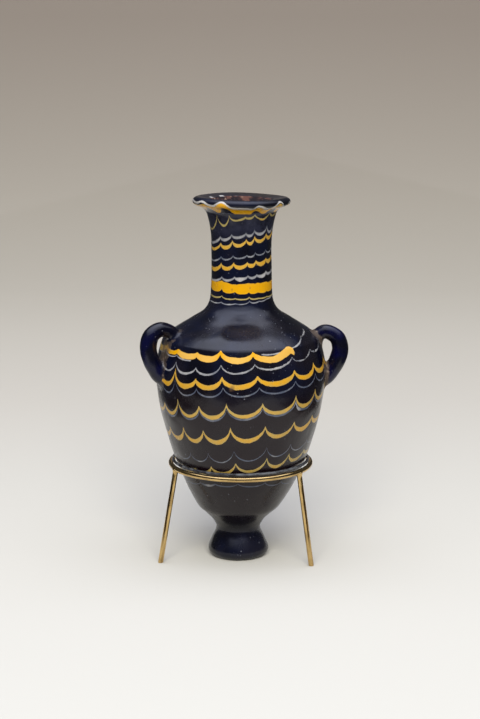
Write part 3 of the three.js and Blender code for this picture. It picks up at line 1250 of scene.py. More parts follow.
    def mark_wear(
        self, mesh: bpy.types.Mesh, points: np.ndarray, wall: np.ndarray, cane: np.ndarray
    ) -> None:
        """Stores at the vertices where the hollow, the handles, crust and stains are.

        Args:
            mesh: the fused mesh.
            points: its vertices in millimetres.
            wall: their distances from the body's outer surface.
            cane: their distances from the handles' surface.
        """
        _, height, radius = self.untwisted(points)
        neck = self.form.radius_at(np.minimum(height, 114.0))
        mouth = (radius < self.form.rim_radius - 3.2) & (radius < neck - 1.2)
        hollow = smoothstep(-wall, 1.5, 2.6) * (points[:, 2] > 17.0)
        hollow = np.where(height > 105.0, mouth.astype(float), hollow)
        store(mesh, "hollow", hollow)
        store(mesh, "cane", smoothstep(-cane, -0.8, 0.1) * smoothstep(wall, 0.0, 1.8))
        nook = bell(np.maximum(cane, 0.0), 2.4) * bell(wall, 1.6)
        sheltered = 0.62 + 0.38 * smoothstep(points[:, 0], -5.0, 5.0)
        crusted = 0.82 * bell(wall, 0.5) * self.under_loops(points)
        store(mesh, "nook", np.maximum(nook * sheltered, crusted) * (1.0 - hollow))
        store(mesh, "inclusion", self.inclusions(points))

    def under_loops(self, points: np.ndarray) -> np.ndarray:
        """Wall under the handles' loops, where weathering crust has stayed, 1 at its middle."""
        azimuth, height, _ = self.untwisted(points)
        total = np.zeros(len(points))
        for handle in self.handles:
            crown = self.form.shoulder[1] + handle.crown_rise
            tail = crown - handle.span
            away = turn_from(handle.turn, azimuth)
            above_tail = smoothstep(height, tail, tail + 3.0)
            below_crown = 1.0 - smoothstep(height, crown - 3.0, crown + 1.0)
            across = np.exp(-((away / self.crust_spread) ** 4))
            total = np.maximum(total, above_tail * below_crown * across)
        return total

    def inclusions(self, points: np.ndarray) -> np.ndarray:
        """Brown inclusions and stains in the glass, 1 at their middles."""
        azimuth, height, _ = self.untwisted(points)
        total = np.zeros(len(points))
        for spot_azimuth, spot_height, wide, tall in self.stains:
            arc = np.radians(turn_from(spot_azimuth, azimuth))
            across = arc * self.form.radius_at(spot_height) / wide
            total += np.exp(-((across**2 + ((height - spot_height) / tall) ** 2) ** 2))
        return np.clip(total, 0.0, 1.0)

    def untwisted(self, points: np.ndarray) -> tuple[np.ndarray, np.ndarray, np.ndarray]:
        """Azimuth, height and radius of points before the vessel's drift and tilt."""
        height = points[:, 2].copy()
        x = points[:, 0] - self.form.drift_at(height)
        angle = np.arctan2(points[:, 1], x)
        radius = np.hypot(x, points[:, 1])
        height -= self.form.lift_at(radius, angle, height)
        return np.degrees(angle) % FULL_TURN, height, radius


def make_faces_outward(piece: bpy.types.Object) -> None:
    """Turns a closed mesh's faces so that they look outwards."""
    mesh = piece.data
    points = coordinates(mesh)
    mesh.calc_loop_triangles()
    corners = np.zeros(len(mesh.loop_triangles) * 3, int)
    mesh.loop_triangles.foreach_get("vertices", corners)
    a, b, c = (points[corners.reshape(-1, 3)[:, k]] for k in range(3))
    if np.einsum("ij,ij->i", a, np.cross(b, c)).sum() < 0.0:
        mesh.flip_normals()


def join_solids(body: bpy.types.Object, part: bpy.types.Object) -> None:
    """Fuses one closed solid into another and removes the second object.

    Args:
        body: the solid that stays.
        part: the solid that is fused in.
    """
    modifier = body.modifiers.new("fuse", "BOOLEAN")
    modifier.operation = "UNION"
    modifier.solver = "EXACT"
    modifier.object = part
    bpy.context.view_layer.update()
    graph = bpy.context.evaluated_depsgraph_get()
    fused = bpy.data.meshes.new_from_object(body.evaluated_get(graph))
    body.modifiers.remove(modifier)
    body.data = fused
    bpy.data.objects.remove(part)


# Stand


@dataclass
class Stand:
    """The brass ring on three legs, with the soft liner between ring and glass."""

    form: VaseForm = field(default_factory=VaseForm)
    rod: float = 1.7
    ring_height: float = 31.75
    liner: float = 0.95
    seat_angle: float = 38.0
    gap: float = 0.3
    legs: tuple[tuple[str, float, float, float], ...] = (
        ("stand_leg_left", 204.0, 201.5, 5.3),
        ("stand_leg_right", 325.0, 329.5, 3.8),
        ("stand_leg_back", 90.0, 90.0, 4.5),
    )
    braze: float = 1.1
    braze_swelling: float = 0.45
    cut_edge: float = 0.12
    leg_sides: int = 24

    def stations(self) -> tuple[tuple[float, float], tuple[float, float]]:
        """Radius and height of the centre lines of ring and liner."""
        glass = float(self.form.radius_at(self.ring_height))
        lean = math.atan(float(self.form.slope_at(self.ring_height)))
        seat = math.radians(self.seat_angle)
        apart = self.rod / 2.0 + self.gap + self.liner / 2.0
        across = apart * math.cos(seat)
        along = apart * math.sin(seat)
        ring_radius = glass + (across + self.liner / 2.0 + self.gap) / math.cos(lean)
        liner_radius = ring_radius - across * math.cos(lean) + along * math.sin(lean)
        liner_height = self.ring_height + across * math.sin(lean) + along * math.cos(lean)
        return (ring_radius, self.ring_height), (liner_radius, liner_height)

    def centre(self) -> float:
        """Sideways place of the stand's axis."""
        return float(self.form.drift_at(self.ring_height))

    def hoop(
        self,
        name: str,
        station: tuple[float, float],
        thickness: float,
        turns: int,
        sides: int,
        uneven: Callable[[np.ndarray], np.ndarray],
    ) -> bpy.types.Object:
        """A ring of rod or tube.

        Args:
            name: name of the object.
            station: radius and height of its centre line.
            thickness: diameter of the rod.
            turns: steps round the ring.
            sides: sides of the rod.
            uneven: function of points in millimetres that gives an outward offset.

        Returns:
            The ring object.
        """
        turn = np.linspace(0.0, 2.0 * math.pi, turns, endpoint=False)[:, None]
        side = np.linspace(0.0, 2.0 * math.pi, sides, endpoint=False)[None, :]

        def place(radius: np.ndarray) -> np.ndarray:
            """Points of the rod's surface at radii about its centre line."""
            out = station[0] + radius * np.cos(side)
            x = out * np.cos(turn) + self.centre()
            z = station[1] + radius * np.sin(side) + 0.0 * turn
            return np.stack([x, out * np.sin(turn), z], -1)

        even = place(thickness / 2.0 + 0.0 * turn).reshape(-1, 3)
        offset = uneven(even).reshape(turns, sides)
        points = place(thickness / 2.0 + offset).reshape(-1, 3)
        faces = []
        for j in range(turns):
            low, high = j * sides, (j + 1) % turns * sides
            for i in range(sides):
                k = (i + 1) % sides
                faces.append((low + i, high + i, high + k, low + k))
        piece = mesh_object(name, points, faces)
        make_faces_outward(piece)
        return piece

    def leg_line(self, top: float, foot: float, splay: float) -> tuple[np.ndarray, np.ndarray]:
        """Upper and lower end of a leg's centre line."""
        ring, _ = self.stations()

        def on_circle(radius: float, azimuth: float, height: float) -> np.ndarray:
            """A point on a circle about the stand's axis."""
            angle = math.radians(azimuth)
            x = radius * math.cos(angle) + self.centre()
            return np.array([x, radius * math.sin(angle), height])

        return on_circle(ring[0], top, ring[1]), on_circle(ring[0] + splay, foot, 0.0)

    def ring_distance(self, points: np.ndarray) -> np.ndarray:
        """Distance of points from the surface of the brass ring."""
        ring, _ = self.stations()
        out = np.hypot(points[:, 0] - self.centre(), points[:, 1]) - ring[0]
        return np.hypot(out, points[:, 2] - ring[1]) - self.rod / 2.0

    def leg(self, name: str, top: float, foot: float, splay: float) -> bpy.types.Object:
        """A straight leg, cut level at its foot and brazed under the ring.

        Args:
            name: name of the CAD node that the leg stands for.
            top: azimuth where it meets the ring.
            foot: azimuth of its foot.
            splay: how far its foot stands out from the ring.

        Returns:
            The leg object.
        """
        head, end = self.leg_line(top, foot, splay)
        along = (head - end) / np.linalg.norm(head - end)
        side = np.cross(along, [0.0, 0.0, 1.0])
        side /= np.linalg.norm(side)
        front = np.cross(side, along)
        length = np.linalg.norm(head - end)
        foot_stops = [0.0, self.cut_edge, 0.5, 1.5]
        shaft_stops = np.linspace(3.0, length - 5.0, 24)
        braze_stops = np.linspace(length - 4.5, length - 0.1, 16)
        stops = np.concatenate([foot_stops, shaft_stops, braze_stops])
        sides = self.leg_sides
        around = np.linspace(0.0, 2.0 * math.pi, sides, endpoint=False)
        spoke = np.cos(around)[:, None] * side + np.sin(around)[:, None] * front
        points = []
        for stop in stops:
            centre = end + along * stop
            radius = np.full(sides, self.rod / 2.0)
            if stop < self.cut_edge:
                radius = radius - self.cut_edge
            for _ in range(6):
                sample = centre + spoke * radius[:, None]
                bar = np.linalg.norm(np.cross(sample - end, along), axis=1) - self.rod / 2.0
                other = self.ring_distance(sample)
                near = np.clip(self.braze - np.abs(bar - other), 0.0, None) / self.braze
                fused = np.minimum(bar, other) - near * near * self.braze * 0.25
                radius = radius + np.where(stop > length - 4.0, -0.6 * np.minimum(fused, 0.0), 0.0)
                radius = np.clip(radius, 0.0, self.rod / 2.0 + self.braze_swelling)
            ring = centre + spoke * radius[:, None]
            if stop < 2.0:
                ring -= along * ((ring[:, 2:3] - stop) / along[2]) * (1.0 - stop / 2.0)
            points.append(ring)
        rings = len(points)
        faces = grid_faces(rings, sides)
        faces.append(tuple(range(sides))[::-1])
        last = (rings - 1) * sides
        faces.append(tuple(range(last, last + sides)))
        lumps = np.concatenate(points)
        lumps[:, 2] = np.maximum(lumps[:, 2], 0.0)
        piece = mesh_object(name + "_brass", lumps, faces)
        make_faces_outward(piece)
        return piece

    def build(self) -> dict[str, bpy.types.Object]:
        """Builds ring, liner and legs.

        Returns:
            The pieces by the CAD node that each stands for.
        """
        ring, liner = self.stations()
        pieces = {
            "stand_ring": self.hoop(
                "stand_ring_brass", ring, self.rod, 240, 24, lambda p: 0.012 * ripple(p, 5.0, 31)
            ),
            "ring_liner": self.hoop(
                "ring_liner_tube", liner, self.liner, 300, 14,
                lambda p: 0.03 * ripple(p, 2.6, 33) + 0.015 * ripple(p, 1.1, 34),
            ),
        }
        for name, top, foot, splay in self.legs:
            pieces[name] = self.leg(name, top, foot, splay)
        return pieces


# Shader building

Colour = tuple[float, float, float, float]
Value = bpy.types.NodeSocket | float | Colour


class Nodes:
    """Short-hand for placing and linking nodes in one tree."""

    def __init__(self, tree: bpy.types.NodeTree) -> None:
        """Keeps the tree that the nodes go into."""
        self.tree = tree

    def add(self, kind: str, **settings: object) -> bpy.types.Node:
        """Adds a node and sets its properties."""
        node = self.tree.nodes.new(kind)
        for name, value in settings.items():
            setattr(node, name, value)
        return node

    def put(self, socket: bpy.types.NodeSocket, value: Value) -> None:
        """Links a socket to another one, or sets its number or colour."""
        if isinstance(value, bpy.types.NodeSocket):
            self.tree.links.new(value, socket)
        else:
            socket.default_value = value

    def math(
        self, operation: str, a: Value, b: Value = 0.0, clamp: bool = False
    ) -> bpy.types.NodeSocket:
        """A Math node of one or two inputs."""
        node = self.add("ShaderNodeMath", operation=operation, use_clamp=clamp)
        for socket, value in zip(node.inputs, (a, b)):
            self.put(socket, value)
        return node.outputs[0]

    def plus(self, a: Value, b: Value, clamp: bool = False) -> bpy.types.NodeSocket:
        """The sum of two values."""
        return self.math("ADD", a, b, clamp)

    def minus(self, a: Value, b: Value) -> bpy.types.NodeSocket:
        """The first value less the second."""
        return self.math("SUBTRACT", a, b)

    def times(self, a: Value, b: Value, clamp: bool = False) -> bpy.types.NodeSocket:
        """The product of two values."""
        return self.math("MULTIPLY", a, b, clamp)

    def inverse(self, mask: Value, clamp: bool = False) -> bpy.types.NodeSocket:
        """A mask turned round, 1 where it was 0."""
        return self.math("SUBTRACT", 1.0, mask, clamp)

    def step(self, value: Value, low: float, high: float) -> bpy.types.NodeSocket:
        """A soft step of a value between two numbers."""
        node = self.add("ShaderNodeMapRange", interpolation_type="SMOOTHSTEP")
        self.put(node.inputs["Value"], value)
        self.put(node.inputs["From Min"], low)
        self.put(node.inputs["From Max"], high)
        return node.outputs["Result"]

    def scale(
        self, value: Value, low: float, high: float, to_low: float, to_high: float
    ) -> bpy.types.NodeSocket:
        """A value stretched from one range to another and kept inside it."""
        node = self.add("ShaderNodeMapRange")
        names = ("Value", "From Min", "From Max", "To Min", "To Max")
        for name, number in zip(names, (value, low, high, to_low, to_high)):
            self.put(node.inputs[name], number)
        return node.outputs["Result"]

    def mix(self, factor: Value, a: Value, b: Value) -> bpy.types.NodeSocket:
        """A blend of two colours."""
        node = self.add("ShaderNodeMix", data_type="RGBA")
        self.put(node.inputs["Factor"], factor)
        self.put(node.inputs["A"], a)
        self.put(node.inputs["B"], b)
        return node.outputs["Result"]

    def attribute(self, name: str) -> bpy.types.Node:
        """A value stored on the mesh."""
        return self.add("ShaderNodeAttribute", attribute_name=name)

    def coordinate(self) -> bpy.types.NodeSocket:
        """The place on the object, in metres."""
        return self.add("ShaderNodeTexCoord").outputs["Object"]

    def split(self, vector: bpy.types.NodeSocket | None = None) -> bpy.types.Node:
        """X, Y and Z of a vector, or else of the place on the object."""
        node = self.add("ShaderNodeSeparateXYZ")
        self.put(node.inputs[0], self.coordinate() if vector is None else vector)
        return node

    def noise(
        self,
        scale: float,
        detail: float,
        rough: float,
        vector: bpy.types.NodeSocket | None = None,
    ) -> bpy.types.NodeSocket:
        """Noise over the object, its scale in waves for each millimetre."""
        node = self.add("ShaderNodeTexNoise")
        node.inputs["Scale"].default_value = scale / MM
        node.inputs["Detail"].default_value = detail
        node.inputs["Roughness"].default_value = rough
        self.put(node.inputs["Vector"], self.coordinate() if vector is None else vector)
        return node.outputs["Fac"]

    def sway(self, scale: float, detail: float, rough: float) -> bpy.types.NodeSocket:
        """Noise that swings about zero, from about -0.5 to 0.5."""
        return self.minus(self.noise(scale, detail, rough), 0.5)

    def bump(self, shader: bpy.types.Node, height: Value, strength: float) -> None:
        """Lets heights in millimetres stand out on a shader's surface."""
        node = self.add("ShaderNodeBump")
        node.inputs["Distance"].default_value = MM
        node.inputs["Strength"].default_value = strength
        self.put(node.inputs["Height"], height)
        self.put(shader.inputs["Normal"], node.outputs["Normal"])


def new_material(name: str) -> tuple[bpy.types.Material, Nodes, bpy.types.Node]:
    """Starts a material.

    Args:
        name: name of the material.

    Returns:
        The material, its node helper and its Principled shader.
    """
    material = bpy.data.materials.new(name)
    material.use_nodes = True
    tree = material.node_tree
    return material, Nodes(tree), tree.nodes["Principled BSDF"]


def new_group(
    name: str, inputs: dict[str, float], outputs: list[str]
) -> tuple[bpy.types.NodeTree, Nodes, dict[str, bpy.types.NodeSocket], bpy.types.Node]:
    """Starts a shader node group.

    Args:
        name: name of the group.
        inputs: names and values of its float inputs.
        outputs: names of its float outputs.

    Returns:
        The tree, its node helper, its input sockets by name and its output node.
    """
    tree = bpy.data.node_groups.new(name, "ShaderNodeTree")
    for label, value in inputs.items():
        socket = tree.interface.new_socket(label, in_out="INPUT", socket_type="NodeSocketFloat")
        socket.default_value = value
    for label in outputs:
        tree.interface.new_socket(label, in_out="OUTPUT", socket_type="NodeSocketFloat")
    nodes = Nodes(tree)
    entry = nodes.add("NodeGroupInput")
    leave = nodes.add("NodeGroupOutput")
    return tree, nodes, {label: entry.outputs[label] for label in inputs}, leave


def smudge_group() -> bpy.types.NodeTree:
    """Group for handling marks: soft smears and fine speckle over any finish."""
    inputs = {"Smear Size": 0.15, "Speckle Size": 2.0, "Contrast": 1.0}
    tree, nodes, given, leave = new_group("handling_smudges", inputs, ["Smear", "Speckle"])
    place = nodes.coordinate()
    for label, low, high in (("Smear", 0.4, 0.66), ("Speckle", 0.56, 0.72)):
        texture = nodes.add("ShaderNodeTexNoise")
        nodes.put(texture.inputs["Vector"], place)
        nodes.put(texture.inputs["Scale"], nodes.times(given[label + " Size"], 1.0 / MM))
        texture.inputs["Detail"].default_value = 4.0
        soft = nodes.step(texture.outputs["Fac"], low, high)
        nodes.put(leave.inputs[label], nodes.times(soft, given["Contrast"], clamp=True))
    return tree


def pit_group() -> bpy.types.NodeTree:
    """Group for burst bubbles and pits: scattered round dimples of uneven size."""
    tree, nodes, given, leave = new_group(
        "burst_bubbles", {"Spacing": 2.4, "Radius": 0.16, "Share": 0.3}, ["Pit"]
    )
    cells = nodes.add("ShaderNodeTexVoronoi", feature="F1")
    nodes.put(cells.inputs["Vector"], nodes.coordinate())
    nodes.put(cells.inputs["Scale"], nodes.math("DIVIDE", 1.0 / MM, given["Spacing"]))
    away = nodes.times(cells.outputs["Distance"], given["Spacing"])
    split = nodes.add("ShaderNodeSeparateColor")
    nodes.put(split.inputs["Color"], cells.outputs["Color"])
    size = nodes.times(split.outputs["Red"], given["Radius"])
    chosen = nodes.math("LESS_THAN", split.outputs["Green"], given["Share"])
    dimple = nodes.inverse(nodes.math("DIVIDE", away, nodes.plus(size, 0.02)), clamp=True)
    nodes.put(leave.inputs["Pit"], nodes.times(dimple, chosen))
    return tree


def place_group(nodes: Nodes, tree: bpy.types.NodeTree, **values: float) -> bpy.types.Node:
    """Places a node group in a material with its own values."""
    node = nodes.add("ShaderNodeGroup", node_tree=tree)
    for label, value in values.items():
        node.inputs[label.replace("_", " ")].default_value = value
    return node


# Materials


@dataclass(frozen=True)
class ThreadedGlass:
    """Dark blue glass with marvered threads, haze, pits and weathered nooks."""

    navy: Colour = (0.0016, 0.0016, 0.004, 1.0)
    blue: Colour = (0.0026, 0.0038, 0.012, 1.0)
    brown: Colour = (0.0045, 0.0012, 0.0026, 1.0)
    cane_dark: Colour = (0.0013, 0.0014, 0.005, 1.0)
    cane_glow_blue: Colour = (0.001, 0.0012, 0.016, 1.0)
    haze: Colour = (0.0085, 0.0062, 0.0075, 1.0)
    film: Colour = (0.017, 0.018, 0.033, 1.0)
    bloom: Colour = (0.10, 0.105, 0.12, 1.0)
    yellow: Colour = (0.50, 0.243, 0.0012, 1.0)
    sheen_cream: Colour = (0.48, 0.315, 0.10, 1.0)
    olive: Colour = (0.27, 0.212, 0.072, 1.0)
    white: Colour = (0.42, 0.40, 0.365, 1.0)
    grey_blue: Colour = (0.052, 0.062, 0.088, 1.0)
    crust: Colour = (0.065, 0.046, 0.031, 1.0)
    crust_light: Colour = (0.20, 0.145, 0.105, 1.0)
    soil: Colour = (0.009, 0.006, 0.007, 1.0)
    rust: Colour = (0.075, 0.032, 0.023, 1.0)
    stain: Colour = (0.13, 0.065, 0.025, 1.0)
    reflectance: float = 0.38
    roughness: float = 0.19
    edge_softness: float = 0.07

    def thread(self, nodes: Nodes, name: str, ragged: bpy.types.NodeSocket) -> tuple:
        """Masks of one thread family.

        Args:
            nodes: helper of the material's tree.
            name: attribute that holds the winding.
            ragged: unevenness of the thread's edge in millimetres.

        Returns:
            Mask of the thread, and how close the place is to its centre line.
        """
        place, width, gap = nodes.split(nodes.attribute(name).outputs["Vector"]).outputs
        off = nodes.math("ABSOLUTE", nodes.minus(place, nodes.math("ROUND", place)))
        distance = nodes.times(off, gap)
        swelling = nodes.sway(0.22, 2.0, 0.5)
        swelling = nodes.times(swelling, nodes.times(width, 0.5))
        half = nodes.plus(nodes.times(width, 0.5), nodes.plus(ragged, swelling))
        margin = nodes.minus(half, distance)
        mask = nodes.step(margin, -self.edge_softness, self.edge_softness)
        core = nodes.step(margin, 0.02, 0.5)
        return mask, core

    def glass_colour(
        self, nodes: Nodes, wear: bpy.types.Node, specks: bpy.types.Node
    ) -> bpy.types.NodeSocket:
        """Colour of the dark ground: navy, brown low down, with bluer clouds, haze, film
        under the rim and a bloom of specks."""
        cane = nodes.attribute("cane").outputs["Fac"]
        height = nodes.split().outputs["Z"]
        high = nodes.step(height, 0.052, 0.066)
        foot = nodes.inverse(nodes.step(height, 0.011, 0.02))
        high = nodes.plus(high, foot, clamp=True)
        ground = nodes.mix(high, self.brown, self.navy)
        clouds = nodes.step(nodes.noise(0.055, 3.0, 0.55), 0.42, 0.62)
        glass = nodes.mix(nodes.times(clouds, high), ground, self.blue)
        glass = nodes.mix(nodes.times(wear.outputs["Smear"], 0.4), glass, self.haze)
        # Painted light on the handles: deeper blue patches in the dark cane stand for light shining
        # through the glass.
        depth = nodes.step(nodes.noise(0.12, 2.0, 0.5), 0.42, 0.6)
        glass = nodes.mix(cane, glass, nodes.mix(depth, self.cane_dark, self.cane_glow_blue))
        under_rim = nodes.inverse(nodes.step(height, 0.1155, 0.117))
        under_rim = nodes.times(under_rim, nodes.step(height, 0.105, 0.111))
        filmy = nodes.scale(nodes.noise(0.3, 4.0, 0.65), 0.35, 0.65, 0.35, 1.0)
        glass = nodes.mix(nodes.times(under_rim, filmy), glass, self.film)
        patches = nodes.step(nodes.noise(0.07, 3.0, 0.6), 0.47, 0.6)
        dusty = nodes.times(nodes.step(specks.outputs["Pit"], 0.05, 0.5), patches)
        return nodes.mix(nodes.times(dusty, 0.85), glass, self.bloom)

    def thread_colours(self, nodes: Nodes, glass: bpy.types.NodeSocket) -> bpy.types.NodeSocket:
        """Lays the pale and the yellow thread over the dark ground."""
        ragged = nodes.times(nodes.sway(0.8, 3.0, 0.6), 0.34)
        fine = nodes.times(nodes.sway(2.6, 2.0, 0.5), 0.1)
        ragged = nodes.plus(ragged, fine)
        yellow, yellow_core = self.thread(nodes, "yellow_thread", ragged)
        pale, pale_core = self.thread(nodes, "pale_thread", nodes.times(ragged, 0.7))
        shade = nodes.sway(0.35, 3.0, 0.6)
        dulling = nodes.attribute("yellow_thread_dulling").outputs["Fac"]
        yellow_mix = nodes.plus(dulling, shade)
        edge = nodes.times(nodes.inverse(yellow_core), 0.3)
        # Painted highlight: a yellow pass whose dulling is below zero, the top pass under the
        # shoulder's highlight, turns cream.
        painted_sheen = nodes.scale(dulling, -0.3, -0.12, 0.75, 0.0)
        yellow_ground = nodes.mix(painted_sheen, self.yellow, self.sheen_cream)
        yellow_colour = nodes.mix(nodes.plus(yellow_mix, edge, clamp=True), yellow_ground, self.olive)
        edge = nodes.times(nodes.inverse(pale_core), 0.2)
        pale_mix = nodes.plus(nodes.attribute("pale_thread_dulling").outputs["Fac"], edge)
        pale_mix = nodes.plus(pale_mix, shade, clamp=True)
        pale_colour = nodes.mix(pale_mix, self.white, self.grey_blue)
        return nodes.mix(yellow, nodes.mix(pale, glass, pale_colour), yellow_colour)

    def build(self, smudges: bpy.types.NodeTree, pits: bpy.types.NodeTree) -> bpy.types.Material:
        """Builds the material.

        Args:
            smudges: group of handling marks.
            pits: group of burst bubbles.

        Returns:
            The material.
        """
        material, nodes, shader = new_material("combed_dark_blue_glass")
        shader.inputs["IOR"].default_value = 1.5
        shader.inputs["Metallic"].default_value = 0.0
        shader.inputs["Transmission Weight"].default_value = 0.0
        shader.inputs["Specular IOR Level"].default_value = self.reflectance
        wear = place_group(nodes, smudges, Smear_Size=0.09, Speckle_Size=1.1, Contrast=1.0)
        bubbles = place_group(nodes, pits, Spacing=2.6, Radius=0.2, Share=0.3)
        specks = place_group(nodes, pits, Spacing=1.0, Radius=0.3, Share=0.3)
        colour = self.thread_colours(nodes, self.glass_colour(nodes, wear, specks))

        nook = nodes.attribute("nook").outputs["Fac"]
        hollow = nodes.attribute("hollow").outputs["Fac"]
        crumbs = nodes.noise(0.5, 5.0, 0.65)
        rubbed = nodes.plus(nook, nodes.times(crumbs, 0.9))
        crusted = nodes.times(nodes.step(rubbed, 0.95, 1.3), 0.75)
        crumbled = nodes.step(nodes.noise(1.2, 3.0, 0.6), 0.5, 0.7)
        colour = nodes.mix(crusted, colour, nodes.mix(crumbled, self.crust, self.crust_light))
        stain = nodes.times(nodes.attribute("inclusion").outputs["Fac"], 0.8)
        colour = nodes.mix(stain, colour, nodes.mix(crumbs, self.crust, self.stain))
        rusty = nodes.step(nodes.noise(0.22, 4.0, 0.65), 0.5, 0.6)
        flaked = nodes.step(nodes.noise(0.5, 4.0, 0.7), 0.6, 0.66)
        soil_colour = nodes.mix(rusty, self.soil, self.rust)
        soil_colour = nodes.mix(flaked, soil_colour, self.crust_light)
        colour = nodes.mix(hollow, colour, soil_colour)
        pit = bubbles.outputs["Pit"]
        colour = nodes.mix(nodes.times(nodes.step(pit, 0.1, 0.7), 0.5), colour, self.crust)
        nodes.put(shader.inputs["Base Color"], colour)

        level = nodes.split().outputs["Z"]
        worn_foot = nodes.times(nodes.inverse(nodes.step(level, 0.008, 0.045)), 0.03)
        rough = nodes.plus(self.roughness, nodes.times(wear.outputs["Smear"], 0.08))
        rough = nodes.plus(rough, nodes.times(wear.outputs["Speckle"], 0.06))
        worn_lip = nodes.times(nodes.step(level, 0.1165, 0.118), 0.16)
        rough = nodes.plus(rough, nodes.plus(worn_foot, worn_lip))
        rough = nodes.plus(rough, nodes.times(crusted, 0.5))
        rough = nodes.plus(rough, nodes.times(hollow, 0.75), clamp=True)
        nodes.put(shader.inputs["Roughness"], rough)

        height = nodes.times(pit, -0.12)
        height = nodes.plus(height, nodes.times(nodes.noise(0.16, 2.0, 0.5), 0.22))
        height = nodes.plus(height, nodes.times(nodes.noise(1.3, 3.0, 0.6), 0.012))
        height = nodes.plus(height, nodes.times(nodes.times(crusted, crumbs), 0.2))
        nodes.bump(shader, height, 0.6)
        return material


@dataclass(frozen=True)
class TarnishedBrass:
    """Polished brass rod with a light tarnish; dark streaks and a dark outer side on the legs are
    painted reflections of the dark room.
    """

    clean: Colour = (0.66, 0.46, 0.19, 1.0)
    tarnish: Colour = (0.22, 0.13, 0.045, 1.0)
    dark_reflection: Colour = (0.045, 0.022, 0.008, 1.0)
    roughness: float = 0.12
    streak_top: float = 0.0302

    def dark_reflection_streaks(self, nodes: Nodes) -> bpy.types.NodeSocket:
        """Dark lines that run down the legs, painted as reflections of the dark room."""
        split = nodes.split()
        joined = nodes.add("ShaderNodeCombineXYZ")
        lean = nodes.times(split.outputs["Z"], 0.14)
        outwards = nodes.plus(nodes.math("ABSOLUTE", split.outputs["X"]), lean)
        nodes.put(joined.inputs["X"], outwards)
        nodes.put(joined.inputs["Y"], split.outputs["Y"])
        lines = nodes.step(nodes.noise(0.9, 2.0, 0.5, joined.outputs["Vector"]), 0.48, 0.6)
        below = nodes.math("LESS_THAN", split.outputs["Z"], self.streak_top)
        return nodes.times(lines, below)

    def painted_dark_side(self, nodes: Nodes) -> bpy.types.NodeSocket:
        """Painted dark reflection along the outer front of the two front legs, the side that mirrors
        the dark room.
        """
        place = nodes.split()
        facing = nodes.split(nodes.add("ShaderNodeNewGeometry").outputs["True Normal"])
        side = nodes.math("SIGN", place.outputs["X"])
        outwards = nodes.times(facing.outputs["X"], side)
        ragged = nodes.times(nodes.sway(0.12, 2.0, 0.5), 0.7)
        outwards = nodes.plus(outwards, ragged)
        band = nodes.step(outwards, 0.02, 0.22)
        band = nodes.times(band, nodes.inverse(nodes.step(outwards, 0.6, 0.85)))
        above_foot = nodes.step(place.outputs["Z"], 0.003, 0.012)
        below_ring = nodes.inverse(nodes.step(place.outputs["Z"], 0.025, 0.0295))
        return nodes.times(band, nodes.times(above_foot, below_ring))

    def build(self, smudges: bpy.types.NodeTree) -> bpy.types.Material:
        """Builds the material with the group of handling marks."""
        material, nodes, shader = new_material("tarnished_brass")
        shader.inputs["Metallic"].default_value = 1.0
        wear = place_group(nodes, smudges, Smear_Size=0.22, Speckle_Size=2.4, Contrast=1.0)
        stain = nodes.times(wear.outputs["Smear"], 0.4)
        stain = nodes.plus(stain, nodes.times(wear.outputs["Speckle"], 0.25))
        # The dark streaks added here are painted reflections of the dark room, not tarnish.
        stain = nodes.plus(stain, nodes.times(self.dark_reflection_streaks(nodes), 0.5), clamp=True)
        metal = nodes.mix(stain, self.clean, self.tarnish)
        # Painted reflection: the outer front of the front legs is darkened where it would mirror the
        # dark room.
        nodes.put(shader.inputs["Base Color"], nodes.mix(self.painted_dark_side(nodes), metal, self.dark_reflection))
        rough = nodes.plus(self.roughness, nodes.times(stain, 0.22))
        nodes.put(shader.inputs["Roughness"], rough)
        fine = nodes.times(nodes.noise(2.0, 3.0, 0.6), 0.02)
        coarse = nodes.times(nodes.noise(0.4, 2.0, 0.5), 0.05)
        nodes.bump(shader, nodes.plus(fine, coarse), 0.15)
        return material


@dataclass(frozen=True)
class SoftTubing:
    """Dark glossy tubing with milky patches that are painted highlights."""

    dark: Colour = (0.012, 0.012, 0.014, 1.0)
    milky_glint: Colour = (0.4, 0.42, 0.44, 1.0)
    roughness: float = 0.16

    def build(self, smudges: bpy.types.NodeTree) -> bpy.types.Material:
        """Builds the material with the group of handling marks."""
        material, nodes, shader = new_material("dark_soft_tubing")
        shader.inputs["IOR"].default_value = 1.5
        wear = place_group(nodes, smudges, Smear_Size=0.35, Speckle_Size=1.6, Contrast=1.0)
        # Painted highlight: milky patches over the dark tubing stand for the broken glints of light
        # along it.
        marked = nodes.math("MAXIMUM", wear.outputs["Smear"], wear.outputs["Speckle"])
        bloom = nodes.times(marked, 0.16)
        nodes.put(shader.inputs["Base Color"], nodes.mix(bloom, self.dark, self.milky_glint))
        nodes.put(shader.inputs["Roughness"], nodes.plus(self.roughness, nodes.times(bloom, 0.3)))
        nodes.bump(shader, nodes.times(nodes.noise(1.4, 4.0, 0.6), 0.07), 0.5)
        return material


# Setting


